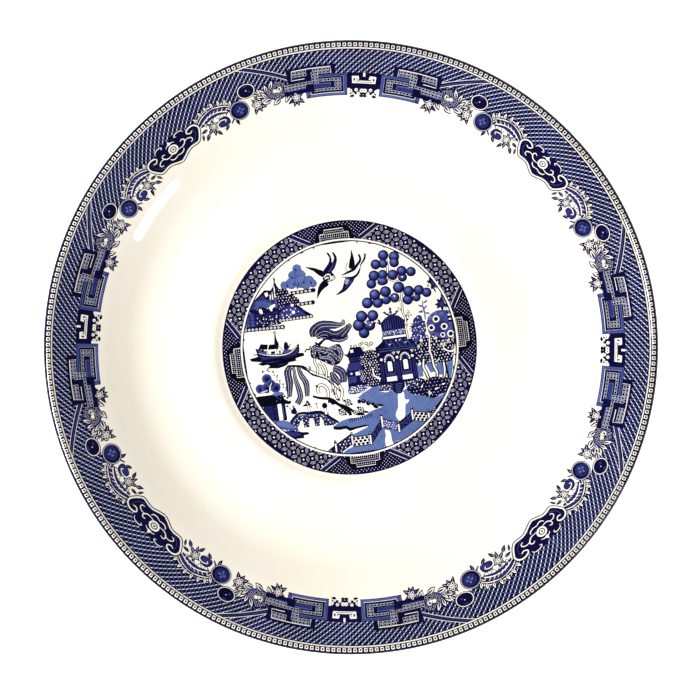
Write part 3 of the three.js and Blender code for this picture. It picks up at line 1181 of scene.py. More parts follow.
def drawWeave(art):
    # upright and lying ovals woven round small white squares
    inner, outer, pitch = medallionForm["inner"], medallionForm["outer"], medallionForm["weave"]
    reach = int(outer / pitch) + 1
    short, long = medallionForm["weaveLeaf"]
    half = medallionForm["weaveSquare"]
    for i in range(-reach, reach):
        for j in range(-reach, reach):
            for x, y, wide, tall in ((i + 0.5, j, short, long), (i, j + 0.5, long, short)):
                away = math.hypot(x * pitch, y * pitch)
                if inner - 1.2 < away < outer - 0.9:
                    art.oval("bare", x * pitch, y * pitch, wide, tall, 10)
                    art.oval("deep", x * pitch, y * pitch, wide - 0.1, tall - 0.12, 10)
                    art.oval("middle", x * pitch, y * pitch, wide * 0.62, tall * 0.66, 8)
                    slit = (0.07, 0.62) if tall > wide else (0.62, 0.07)
                    art.oval("bare", x * pitch, y * pitch, *slit, 6)
            away = math.hypot(i * pitch, j * pitch)
            if inner - 0.6 < away < outer - 0.5:
                x, y = i * pitch, j * pitch
                art.shape("bare", [(x - half, y), (x, y - half), (x + half, y), (x, y + half)])


def drawSide(art, quarter):
    # one of the four speckled sectors with a stepped box of squares in its middle
    def turned(points):
        return quarterTurned(points, quarter)

    outer, pitch, half = medallionForm["outer"], medallionForm["speckle"], medallionForm["speckleHalf"]
    arc = [(outer * math.sin(math.radians(a)), outer * math.cos(math.radians(a))) for a in range(-20, 21, 2)]
    region = [(-9.2, 45.6)] + arc + [(9.2, 45.6)]
    art.shape("deep", turned(region))
    row, y = 0, 46.2
    while y < outer - 0.45:
        for step in range(-13, 14):
            x = (step + 0.5 * (row % 2)) * pitch
            if inside((x * 1.03, y - 0.4), region) and math.hypot(x, y) < outer - 0.45:
                (u, v), = turned([(x, y)])
                art.shape("bare", [(u - half, v), (u, v - half), (u + half, v), (u, v + half)])
        row, y = row + 1, y + pitch / 2
    for sign in (-1, 1):
        art.line("deep", turned([(sign * 10.2, 46.5), (sign * 20, 52.1)]), 3, 1)
        art.line("royal", turned([(sign * 10.4, 46.5), (sign * 19.9, 52)]), 1.7, 1)
        art.line("deep", turned([(sign * 10.4, 46.5), (sign * 19.9, 52)]), 0.8, 1)
        for offset in (-1.1, 1.1):
            art.line("bare", turned([(sign * 10.6, 46.4 + offset), (sign * 19.9, 51.85 + offset)]), 0.22, 1)
    art.shape(
        "inky", turned([(-8.4, 46.6), (-7.9, 50.6), (-6, 53.2), (6, 53.2), (7.9, 50.6), (8.4, 46.6)]),
    )
    for left, low, high in ((6.3, 47.2, 50.1), (4.2, 50.1, 51.9)):
        box = [(-left, low), (left, low), (left, high), (-left, high)]
        art.shape("bare", turned(box))
        for turn in (0, 90):
            art.hatch("deep", turned(box), turn, 0.86, 0.54)
    rightHalf = [(4.2, 52), (4.2, 50.3), (6.3, 50.1), (6.3, 46.9)]
    leftHalf = [(-x, y) for x, y in reversed(rightHalf)]
    art.line("bare", turned(leftHalf + rightHalf), 0.22, 1)


def beads(art, start, end, thick, pitch=1.75):
    # a shore: a dark bar with white rings along it
    art.line("deep", [start, end], thick, 1)
    art.oval("deep", end[0], end[1], thick * 0.62, thick * 0.6, 10)
    length = math.hypot(end[0] - start[0], end[1] - start[1])
    for i in range(int(length / pitch) + 1):
        t = i * pitch / length
        x, y = start[0] + (end[0] - start[0]) * t, start[1] + (end[1] - start[1]) * t
        art.oval("bare", x, y, 0.55, 0.5, 8)
        art.oval("deep", x, y, 0.26, 0.24, 6)


def bubbly(art, region, pitch, size, steps=3):
    # a mass of leaves: white and blue dots on a dark ground
    art.blob("deep", region, steps)
    art.scatter("bare", region, pitch, size, 7, 0.16)
    art.scatter("middle", region, pitch * 1.7, size * 0.7, 6, 0.3)
    art.scatter("deep", region, pitch * 1.3, size * 0.6, 6, 0.3)


def ringFlower(art, x, y, size):
    art.oval("deep", x, y, size * 1.12, size * 1.12, 12)
    art.oval("bare", x, y, size, size, 12)
    art.oval("royal", x, y, size * 0.62, size * 0.62, 10)
    art.oval("deep", x, y, size * 0.42, size * 0.42, 8)


def drawPagoda(art):
    for x, y, r in (
        (-18, 37, 2), (-20.2, 34.4, 2), (-17, 34, 2.5), (-24.3, 30.6, 1.8), (-21.2, 31, 2.5),
        (-17, 31.4, 3), (-13.5, 31.1, 2.3), (-12, 29.8, 1.8), (-15, 29.5, 2),
    ):
        art.oval("middle", x, y, r, r, 16)
        art.oval("pale", x + 0.1, y + 0.15, r * 0.86, r * 0.84, 14)
    for x, y in (
        (-18.6, 36.6), (-20.6, 33.4), (-18.2, 30.4), (-15.8, 30.6), (-12.7, 30.1), (-23, 30.2),
        (-18.9, 28.9), (-20.3, 30.5),
    ):
        art.oval("royal", x, y, 0.4, 0.7, 8)
    # spire, two curled roofs and the striped wall between them
    art.line("deep", [(-28.4, 34.9), (-28.5, 32.8)], (0.3, 0.7), 2)
    art.oval("deep", -28.45, 33.9, 0.55, 0.35, 8)
    art.shape("deep", [
        (-28.5, 33.2), (-29.3, 31), (-30.6, 29.3), (-33.4, 29.7), (-38.6, 25.6), (-38, 24.8), (-31.5, 24.6),
        (-25.4, 24.6), (-24.4, 27.6), (-25.2, 28.8), (-26.8, 29.3), (-27.7, 31),
    ])
    art.shape("bare", [(-33.6, 28.4), (-32.1, 28.7), (-31.9, 27.1), (-33.1, 26.7)])
    art.shape("royal", [(-37.4, 25.5), (-34.3, 27.9), (-33.2, 26.2), (-32.6, 25.2)])
    for x, foot, top in (
        (-31.2, 25.4, 27.4), (-30.2, 25.2, 28.4), (-29.1, 25.2, 31), (-28.1, 27.4, 29.6),
        (-27.3, 25.2, 28.6), (-26.3, 25.2, 27.6),
    ):
        art.line("bare", [(x, foot), (x + 0.1, top)], (0.55, 0.4), 1)
    art.line("middle", [(-30.9, 28), (-26.2, 27.8)], 0.35, 1)
    # blue walls over a dark grove
    art.shape("royal", [(-41.8, 22.3), (-40.5, 24.6), (-38, 25.8), (-30, 25.2), (-28, 22), (-42, 21.6)])
    art.hatch("pale", [(-39, 22.2), (-31.5, 22.2), (-30.5, 25), (-37.5, 25.4)], 45, 0.8, 0.34)
    art.line("deep", [(-33.2, 24.6), (-27.6, 24.2)], 0.4, 1)
    grove = [
        (-43.8, 21), (-41, 22.2), (-37.5, 21.6), (-36, 22.8), (-33, 21.5), (-31, 22.8), (-27.5, 22.6),
        (-27.6, 18), (-28, 14.2), (-45.6, 13.6), (-44.8, 17),
    ]
    art.shape("deep", grove)
    art.box("royal", -44.6, 14.6, -39.2, 20.6)
    for i in range(3):
        for j in range(4):
            art.box("middle", -44.2 + i * 1.7, 15.0 + j * 1.4, -43.2 + i * 1.7, 15.7 + j * 1.4)
            art.line("deep", [(-44.9 + i * 1.7, 14.6), (-44.9 + i * 1.7, 20.6)], 0.3, 1)
    art.scatter("middle", [(-38.8, 14.4), (-29, 14.4), (-28.6, 19.5), (-38.8, 20)], 1.15, 0.24, 5, 0.2)
    art.scatter("bare", [(-38.8, 14.4), (-28.8, 14.4), (-28.6, 18.5), (-38.8, 18)], 1.5, 0.26, 5, 0.3)
    art.blob("bare", [(-36.6, 21.9), (-35.5, 21.4), (-35.4, 19.8), (-36.2, 19.7), (-36.9, 20.8)], 2)
    art.blob("bare", [
        (-32.3, 22.2), (-29.8, 23.2), (-29.3, 22.3), (-30.8, 21.5), (-31.2, 20.2), (-32, 20.8),
    ], 2)
    # rocks and the long shores
    bubbly(art, [
        (-28.6, 28.6), (-26.5, 29.4), (-23.8, 28.8), (-22, 26.5), (-20.2, 25.2), (-18.8, 23.6),
        (-19.6, 21), (-24, 21.8), (-28.4, 19.6),
    ], 1.3, 0.24)
    art.box("middle", -29.5, 21.2, -28.6, 26)
    beads(art, (-22.5, 26.8), (-12.2, 26.8), 1.7)
    beads(art, (-19.5, 21.6), (-13.2, 21.6), 1.7)
    art.shape("deep", [
        (-29.4, 15), (-14.2, 15.1), (-14.4, 16.6), (-17, 18.6), (-19, 20.6), (-22.4, 22.9), (-25, 22),
        (-28.6, 19.8), (-29.6, 17),
    ])
    art.shape("royal", [(-28.6, 16.2), (-16.4, 16.3), (-18.6, 18.8), (-22.4, 22.3), (-25, 21.4), (-28, 19.2)])
    art.scatter("middle", [(-28.4, 16.6), (-16.8, 16.6), (-22, 22), (-27.8, 19)], 1.1, 0.3, 6, 0.2)
    art.scatter("bare", [(-28.4, 16.4), (-17.2, 16.4), (-22, 22), (-27.8, 19)], 1.9, 0.3, 6, 0.3)
    art.oval("bare", -22.1, 18.5, 0.8, 0.8, 8)
    art.oval("bare", -22.2, 21.6, 0.75, 0.6, 8)
    beads(art, (-28.2, 15.7), (-14.6, 15.7), 1.5, 1.5)
    beads(art, (-45.4, 13.6), (-27.6, 12.8), 1.8, 1.6)


def drawSwallows(art):
    art.blob("inky", [
        (-14.3, 37.1), (-11, 36.5), (-8.4, 35.3), (-6.2, 34.2), (-5.5, 33.6), (-7, 31.8), (-9, 32.9),
        (-11, 35),
    ], 3)
    art.line("deep", [
        (-6.6, 32.9), (-5, 34.8), (-3.3, 37.2), (-2.9, 39.8), (-4, 42),
    ], (2, 2.3, 1.6, 1, 0.7))
    art.line("deep", [
        (-5, 33), (-2.6, 35.6), (-1, 38.2), (-0.8, 40), (-1.7, 42),
    ], (1.6, 2.2, 1.5, 1.1, 0.7))
    art.line("bare", [(-2.5, 37.5), (-2.3, 39.5), (-2.7, 41.5)], (0.1, 0.35, 0.6), 3)
    art.line("middle", [(-5.2, 33.2), (-3, 35.2), (-1.9, 37.4)], (0.3, 0.45, 0.15))
    art.blob("deep", [
        (-7.4, 31.6), (-5.6, 33.4), (-3.4, 33.6), (-1.9, 31.2), (-2.6, 30), (-5.4, 29.4), (-7.1, 30.2),
    ], 3)
    art.line("bare", [
        (-6.9, 31.5), (-5.7, 32.6), (-4.2, 32.5), (-4, 30.3), (-5.4, 30.2),
    ], (0.4, 0.55, 0.3))
    art.line("bare", [(-6.5, 30.8), (-5.4, 31.4), (-4.7, 31.1)], (0.4, 0.6, 0.3), 3)
    art.oval("bare", -3.05, 31, 0.85, 0.8, 10)
    art.oval("deep", -2.9, 31.1, 0.3, 0.28, 6)
    art.shape("deep", [(-2.1, 31.3), (-1.6, 30.8), (-2.2, 30.5)])
    art.blob("inky", [
        (-7.3, 30.3), (-9.8, 27.8), (-11.1, 22.8), (-9.6, 24.8), (-7.8, 26.6), (-5.3, 28.1), (-5.6, 29.4),
    ], 3)
    # the second bird, facing the first
    art.blob("inky", [
        (6.5, 42.1), (7.2, 38.4), (7.2, 34.6), (6.2, 33.5), (4.5, 34.3), (5.1, 37), (6, 39.5),
    ], 3)
    art.line("deep", [(4.3, 36.6), (3.2, 34.6), (3.5, 32.9), (5.6, 32.9)], 0.28, 3)
    art.line("deep", [
        (9.4, 39.6), (9.9, 37.2), (8, 34.8), (6.2, 33.2), (3.6, 32.3), (0.9, 31.4),
    ], (0.7, 1, 1.2, 1.3, 0.9, 0.5))
    art.line("deep", [
        (12.3, 39.6), (11.7, 37.2), (9.8, 34.9), (8.3, 31.6), (6, 29.9), (3.5, 30.2), (1, 30.6),
    ], (0.7, 0.9, 0.5, 0.9, 1.2, 0.5, 0.4))
    art.line("bare", [
        (9.4, 34.5), (8, 32.9), (6, 31.8), (3.2, 31.2), (1.8, 31),
    ], (0.5, 1, 1.1, 0.7, 0.5))
    art.oval("bare", 1.75, 31, 0.7, 0.6, 8)
    art.oval("deep", 1.6, 31.1, 0.22, 0.2, 6)
    art.blob("deep", [
        (2.1, 29.8), (1.2, 27.6), (0.2, 25.5), (-2.8, 23.3), (1, 24.2), (4.2, 26.6), (6.4, 29.7),
        (4, 30.2),
    ], 3)
    art.blob("pale", [(2.5, 29.6), (1.8, 27.9), (2.6, 27.3), (3.8, 28.2), (4, 29.5)], 3)
    art.scatter("bare", [(1.8, 29.5), (1.6, 27.6), (2.8, 27.4), (3.6, 29.6)], 0.8, 0.22, 5)
    art.blob("royal", [(2.6, 27.1), (1.6, 25.4), (4.2, 27.2), (5.4, 29.2)], 2)


fruit = [
    (20, 37.6, 2.35), (24.6, 36.4, 2.35), (19.4, 34, 2), (16.2, 34.1, 2.25), (24.3, 33.8, 2.15),
    (18.6, 29.3, 2.15), (14.8, 29.3, 2.4),
    (22.9, 28.6, 2.35), (27, 27, 2), (31, 28.9, 2.15), (27, 29.8, 2.25), (13.2, 26, 2.2),
    (18.2, 26.3, 2.4), (22.4, 18.6, 2.15),
    (18.6, 18.3, 2.15), (14.8, 17.5, 2.35), (31.8, 17.5, 1.9), (28, 17, 2.25), (18.8, 21.8, 2.45),
    (14, 21.1, 2.45), (24.7, 22.9, 2.55),
    (36.5, 19, 2.15), (28.8, 20.6, 2.45), (33.3, 20.5, 2.25), (10.3, 18, 2.45), (10, 8.3, 2.45),
    (7.1, 5.3, 2.4), (5.3, 9, 2.65),
    (11.9, 12.3, 2.45), (7, 12.6, 2.55),
]


def drawFruit(art):
    art.bordered("deep", "bare", [
        (25.5, 20.6), (25.3, 17), (25, 12), (25.8, 9), (25.4, 5), (25.7, 0),
    ], 0.5, 0.3)
    art.bordered("deep", "bare", [(21.2, 35.4), (21, 31), (20.6, 28), (22.5, 26.2), (25, 25.4)], 0.55, 0.3)
    for x, y, r in fruit:
        tall = 0.72 if (x, y) == (18.2, 26.3) else 1.0
        art.oval("deep", x, y, r, r * tall, 22)
        art.oval("royal", x - 0.08 * r, y + 0.13 * r, r * 0.76, r * 0.72 * tall, 20)
        art.oval("middle", x - 0.13 * r, y + 0.24 * r, r * 0.54, r * 0.48 * tall, 18)
        art.oval("pale", x - 0.17 * r, y + 0.33 * r, r * 0.34, r * 0.27 * tall, 14)
    for x, y in (
        (8.6, 9.6), (11.2, 9.4), (10.3, 8.4), (26.9, 27.2), (22.4, 19.4), (30.9, 18.7), (17.4, 19.4),
    ):
        art.oval("bare", x, y, 0.32, 0.45, 7, -30)
    art.line("bare", [(21.4, 26.6), (22.8, 26), (24.3, 25.9)], (0.2, 0.4, 0.2), 3)
    for x, y, turn in (
        (26.2, 12.6, -35), (26.6, 10.5, -10), (25.2, 7.8, -60), (26.8, 6.4, -25), (24.2, 15.6, 70),
        (26.4, 3.4, 30), (26.6, 8.8, 80), (24.2, 12.3, 115),
    ):
        art.leaf("deep", x, y, 2.4, 1.3, turn)
        art.leaf("bare", x, y, 2, 0.75, turn)


def drawTeaHouse(art):
    # finial, ridge curls and the upper roof
    for curl in (
        [(19.7, 14.9), (19.7, 12)], [(17, 13.1), (17.5, 12.2), (19, 11.6)],
        [(22.6, 12.9), (22, 11.9), (20.6, 11.5)],
    ):
        art.line("deep", curl, (0.5, 0.9), 3)
    for x, y in ((19.7, 14), (17.1, 12.8), (22.5, 12.6), (19.7, 12.6)):
        art.oval("deep", x, y, 0.7, 0.5, 8)
        art.oval("middle", x, y, 0.28, 0.22, 6)
    roof = [(14.9, 5), (14.6, 8.3), (16.8, 10.3), (19.8, 11.9), (23, 10.7), (25.6, 8.2), (25.2, 5)]
    art.shape("deep", roof)
    art.hatch("royal", roof, 90, 1, 0.32)
    art.hatch("middle", [(15.6, 5.6), (15.6, 8), (18.6, 9.8), (19.4, 5.6)], 90, 0.9, 0.26)
    for x, y, turn in ((15, 8, 150), (14.8, 8.6, 120), (13, 9.2, 200), (25.3, 8, 20), (25.4, 8.8, 60)):
        art.leaf("deep", x, y, 2.2, 1, turn)
    art.leaf("bare", 14.2, 9, 1.6, 0.45, 155)
    # a stippled band and a white band over the lower roof
    art.box("deep", 14.9, 2.3, 25.3, 5.3)
    art.box("middle", 15.1, 2.7, 25.1, 5)
    art.scatter("bare", [(15.2, 2.8), (25, 2.8), (25, 5), (15.2, 5)], 0.95, 0.26, 5, 0.25)
    art.scatter("deep", [(15.2, 2.8), (25, 2.8), (25, 5), (15.2, 5)], 1.5, 0.24, 5, 0.3)
    art.shape("deep", [(14.4, 2.6), (25.8, 2.6), (25.8, 0.8), (14.4, 0.8)])
    art.box("bare", 14.9, 1.35, 25.1, 2.3)
    lower = [
        (10.9, -1.8), (13, -0.6), (15, 1.1), (25.4, 1.1), (27.4, -0.6), (29.4, -3.2), (28.7, -4.5),
        (11.3, -4.4),
    ]
    art.shape("deep", lower)
    art.hatch("royal", [(15.2, -2.6), (15.6, 0.8), (25.2, 0.8), (27.6, -2.4)], 58, 1.15, 0.3)
    art.hatch("middle", [(15.2, -2.6), (15.6, 0.8), (25.2, 0.8), (27.6, -2.4)], 122, 1.9, 0.28)
    for x, y in ((22, 0.2), (17.5, -1.2), (24.4, -1.1), (20.4, 0.2)):
        art.oval("bare", x, y, 0.5, 0.22, 7, 30)
    art.line("middle", [(12.6, -2.8), (28.2, -3)], 0.22, 1)
    art.line("pale", [(12.4, -3.8), (28.2, -3.9)], 0.2, 1)
    # posts, bays and their arched windows
    art.box("deep", 11.4, -17.4, 27.9, -4.3)
    for x in (11.7, 18.7, 25.9):
        art.box("royal", x + 0.45, -16.6, x + 1.5, -8.8)
        art.box("deep", x + 0.75, -16.6, x + 1.2, -8.8)
    for x, y in ((12.9, -7.3), (19.8, -7.1), (26.5, -7.3)):
        art.oval("bare", x, y, 0.62, 0.62, 9)
    for x in (11.6, 18.6, 20.6, 26.6):
        art.shape("bare", [(x - 0.8, -4.6), (x, -5.9), (x + 0.8, -4.6)])
        art.shape("deep", [(x - 0.35, -4.7), (x, -5.3), (x + 0.35, -4.7)])
    for x in (16.3, 23.2):
        for i in range(9):
            a = math.radians(180 * i / 8)
            art.oval("bare", x + 1.95 * math.cos(a), -8.2 + 2.6 * math.sin(a), 0.34, 0.42, 7)
            art.oval("middle", x + 1.15 * math.cos(a), -7.6 + 1.4 * math.sin(a), 0.24, 0.3, 6)
        for i in range(5):
            art.oval("middle", x - 2.1, -9.4 - i * 0.95, 0.24, 0.3, 6)
            art.oval("middle", x + 2.1, -9.4 - i * 0.95, 0.24, 0.3, 6)
        art.shape("bare", [
            (x - 1, -12.7), (x - 1, -9), (x - 0.6, -8.5), (x + 0.6, -8.5), (x + 0.95, -9),
            (x + 0.95, -12.7),
        ])
        panel = [(x - 2.2, -14.9), (x + 2.2, -14.9), (x + 2.2, -13.2), (x - 2.2, -13.2)]
        art.shape("middle", panel)
        art.hatch("deep", panel, 0, 0.6, 0.28)
        art.hatch("deep", panel, 90, 0.9, 0.3)
        art.box("bare", x - 2.1, -17.1, x + 2.3, -15.2)
    art.box("deep", 10, -18.1, 28.6, -17.25)
    # landing blocks, steps and the low wall on the right
    for block in (
        [(10.3, -17.9), (17.2, -17.9), (16.2, -21.2), (10.4, -20.8)],
        [(21.6, -17.9), (28.4, -17.9), (28.4, -20.4), (22.2, -20.6)],
    ):
        art.shape("deep", block)
        art.scatter("middle", block, 0.85, 0.27, 6, 0.25)
        art.scatter("bare", block, 1.3, 0.28, 6, 0.3)
    art.shape("deep", [
        (16.8, -17.8), (21.6, -17.8), (21.6, -20), (19.5, -22.9), (17.4, -22.9), (15.6, -20.8),
    ])
    for i in range(5):
        art.line("pale", [
            (17.4, -18.7 - i * 0.85), (20.6 - i * 0.3, -18.7 - i * 0.85),
        ], (0.15, 0.42, 0.15), 2)


def drawShrubAndCottage(art):
    shrub = [(4.8, -3.6), (7, -2.4), (11.2, -3), (11.6, -10), (11.6, -17), (9, -18.4), (5.4, -17.6), (5, -10)]
    bubbly(art, shrub, 1.2, 0.25, 2)
    for x, y, r in (
        (2.4, 0.1, 0.8), (4.6, 0.5, 0.7), (5.6, 1.1, 0.7), (7.4, 0.6, 0.8), (9.5, 0.3, 0.9),
        (8.2, -0.6, 0.6), (0.6, 0.4, 0.6), (5.4, -1.2, 0.7),
    ):
        art.oval("deep", x, y, r, r, 9)
        art.oval("bare", x, y, r * 0.55, r * 0.55, 8)
    art.line("bare", [(8.6, -10.5), (8.8, -13.4), (10, -14.6), (11.4, -15.6)], (0.4, 0.7, 0.9), 3)
    art.line("bare", [(7.2, -7.5), (8, -9)], 0.35, 1)
    # the cottage: dark roof with a white flower, a blue block and one window
    art.shape("deep", [
        (-3.3, -2.6), (-1.4, -2.9), (0.2, -0.2), (4.6, -0.3), (5.6, -2.4), (5.4, -4.2), (-0.8, -4.1),
        (-1.4, -4.3), (-2.4, -3.3),
    ])
    art.petals("bare", 0.7, -1.8, 0.45, 4, 0.42, 0.36, 45)
    art.shape("deep", [(-1.3, -4), (5.2, -4), (5.2, -17.2), (-2.8, -17.2), (-2.8, -9.6), (-1, -6.8)])
    art.shape("royal", [(-1.6, -6.9), (3.8, -6.9), (3.8, -10.2), (-2.6, -10.2)])
    art.scatter("middle", [(-0.8, -4.3), (5.2, -4.3), (5.2, -6.6), (-0.8, -6.6)], 0.95, 0.24, 6)
    art.scatter("bare", [(3.8, -4.3), (5.4, -4.3), (5.4, -9), (3.8, -9)], 0.95, 0.22, 6)
    art.oval("pale", -0.8, -11.5, 0.8, 0.7, 9)
    art.oval("bare", -0.8, -11.5, 0.35, 0.3, 7)
    art.box("bare", 0.95, -12.5, 2.75, -11)
    art.box("royal", -2.6, -15.4, 4.6, -12.8)
    art.scatter("middle", [(-2.6, -15.6), (4.8, -15.6), (4.8, -12.8), (-2.6, -12.8)], 0.9, 0.25, 6)
    art.scatter("bare", [(2.9, -15.6), (5.2, -15.6), (5.2, -10), (2.9, -10)], 0.95, 0.22, 6)
    art.box("deep", 1.2, -15.7, 2.5, -12.9)
    art.box("deep", -2.9, -16.9, 5.4, -16.1)
    ground = [(-3.4, -17.1), (5.8, -17.1), (5.4, -18.8), (2.6, -20.3), (-0.6, -20.6), (-3.2, -20.2)]
    art.shape("middle", ground)
    art.scatter("deep", ground, 0.8, 0.24, 6, 0.3)
    art.scatter("bare", ground, 1, 0.3, 6, 0.3)


def drawGrove(art):
    art.blob("middle", [
        (34.6, 4.5), (35.6, 8), (38, 10), (41.5, 10.6), (46.6, 9), (47, 2), (46.4, -1.5), (41, -2),
        (36, -1),
    ], 3)
    art.blob("royal", [(37, 2.2), (38.6, 5.4), (41.4, 6), (44, 4.6), (43, 1.8), (40, 0.8)], 3)
    for x, y, r in ((36.4, 7.9, 1.2), (41.6, 9, 1), (44.6, 7.8, 0.9), (38.8, 9.6, 0.9)):
        art.oval("pale", x, y, r, r * 0.7, 10, 20)
    for a, b in (((43.8, 7.2), (46.4, 7.3)), ((44, 5.4), (46.6, 5.6)), ((43.6, 9.4), (45.6, 9.2))):
        art.line("deep", [a, b], 0.9, 1)
    art.line("bare", [(44.2, 8.1), (45.6, 8.1)], 0.7, 1)
    art.line("bare", [(44.4, 6.2), (45.4, 6.2)], 0.6, 1)
    for x, y, r in ((38.9, 7, 1.55), (36.4, 3.5, 1.45), (42, 3.3, 1.5), (44.4, -0.2, 1.6), (40.9, -0.2, 1.1)):
        ringFlower(art, x, y, r)
    for x, y, reach, turns in (
        (42.3, 13.2, 3.2, (90, 130, 180, 215, 270, 330, 40)),
        (39.6, 22.6, 2.9, (100, 150, 200, 255, 300, 60)), (44, 15.8, 2.3, (80, 140, 200, 260)),
    ):
        for turn in turns:
            art.leaf("deep", x, y, reach, 1.5, turn)
        art.oval("royal", x, y, 1.3, 1.2, 9)
    art.oval("bare", 38.6, 22.2, 0.9, 0.7, 9)
    art.line("deep", [(38.8, 26), (38.5, 24), (39.5, 21), (40.5, 18.6)], (0.3, 0.8, 0.5), 3)
    art.line("deep", [(42.8, 18.5), (44, 16.4)], (0.4, 0.7), 2)
    art.scatter("deep", [(42.6, 11), (46.2, 10), (45, 16), (43.6, 17)], 0.9, 0.3, 6)
    # a pale twig over round leafy clusters
    art.line("middle", [(34.3, 15.8), (34, 13), (34.4, 10.5), (34.2, 6)], (0.3, 0.7, 0.4), 3)
    for x, y, turn in (
        (34, 13, 150), (34.2, 12, 40), (33.8, 11.5, 200), (34.4, 14.5, 30), (34, 10.8, 170),
        (34.6, 10.4, -20),
    ):
        art.leaf("middle", x, y, 2.4, 0.9, turn)
        art.leaf("pale", x, y, 1.6, 0.5, turn)
    for x, y, r in (
        (31, 7, 2.2), (29.6, 3.4, 2), (33.3, 5.4, 1.6), (32.3, 2.6, 1.9), (29, 0.2, 2.2),
        (33, -0.3, 1.6), (31.6, 8.4, 1.4), (28.4, 5.5, 1),
    ):
        art.oval("deep", x, y, r, r, 14)
        art.oval("royal", x, y, r * 0.8, r * 0.8, 12)
        art.scatter("middle", [
            (x - r * 0.8, y - r * 0.8), (x + r * 0.8, y - r * 0.8), (x + r * 0.8, y + r * 0.8),
            (x - r * 0.8, y + r * 0.8),
        ], 1, 0.32, 6)
        art.scatter("bare", [
            (x - r * 0.7, y - r * 0.4), (x + r * 0.7, y - r * 0.6), (x + r * 0.6, y + r * 0.7),
            (x - r * 0.8, y + r * 0.6),
        ], 1.35, 0.26, 6)
    art.line("bare", [(34.2, 7.5), (34.4, 3.5), (33.6, 0.5)], (0.3, 0.5, 0.4), 3)
    mass = [
        (27.8, -2.8), (31, -1.4), (34, -0.4), (37, 0.6), (40, -1.6), (44.5, -2), (46, -3.4), (45, -8),
        (43.4, -11.8), (38, -12.4), (33, -12), (28.2, -11.8), (27.9, -7),
    ]
    bubbly(art, mass, 1.4, 0.24, 2)
    art.scatter("bare", mass, 2.3, 0.3, 6, 0.35)
    for x, y in ((29.5, -3.6), (31.4, -1.6), (37.6, -1.2), (42.9, -3), (44.3, -7.4), (39.8, -4.2)):
        art.oval("bare", x, y, 0.7, 0.5, 8, 25)
        art.oval("deep", x, y, 0.3, 0.2, 6, 25)
    for path in (
        [(35.4, 0.8), (34.6, -3), (34.4, -8), (35.2, -13)],
        [(41.6, -3.4), (40.4, -6), (42.6, -7.6), (44.4, -8)], [(36, -11.6), (38, -10.4)],
    ):
        art.line("bare", path, (0.3, 0.6, 0.45), 3)
    # trunks against pale ground, then low bushes
    art.box("pale", 27.9, -17, 30.1, -11.6)
    art.shape("pale", [(31.6, -11.6), (34.4, -11.6), (35.4, -15.6), (33.4, -15.8)])
    art.shape("pale", [(36.3, -12.4), (39, -12), (38.6, -17.4), (36.2, -17.2)])
    art.shape("pale", [(41, -12.4), (44.4, -11.6), (43.6, -16), (41.6, -19.4), (40.8, -18)])
    for path in (
        [(31.2, -9.5), (30.6, -13), (31.6, -15.8), (32.2, -18.6)],
        [(34.8, -8), (35.2, -13), (36.2, -16), (35.8, -19)], [(39.6, -12), (39.6, -15.5), (38.9, -18.6)],
    ):
        art.line("deep", path, 1.6, 3)
        art.line("bare", path, (0.6, 0.75, 0.35), 3)
    art.line("deep", [(40.2, -10), (40.8, -19)], 0.9, 1)
    art.line("bare", [(28.4, -11.8), (29.2, -11.6), (29.4, -10.8)], 0.7, 2)
    bushes = [
        (27.6, -17), (31, -18.6), (34, -17.6), (38, -18.4), (42.4, -19.4), (42.6, -21), (39.6, -24.6),
        (36.6, -25.6), (33.6, -27), (30.2, -26), (28, -25), (24.6, -24), (22.6, -22.6), (22.4, -20.6),
        (27.4, -20.4),
    ]
    bubbly(art, bushes, 1.6, 0.2, 2)
    for x, y, turn in ((28.8, -21.2, 60), (32, -24.8, 30), (38.2, -21.4, 10), (31.6, -24, 70), (35, -23, 20)):
        art.oval("bare", x, y, 0.85, 0.32, 8, turn)
    art.blob("bare", [
        (47, 4), (46.4, -1), (45.2, -6), (44, -11), (42.9, -16), (41.9, -19.6), (43.4, -19.2), (46, -12),
        (47.6, -4),
    ], 3)


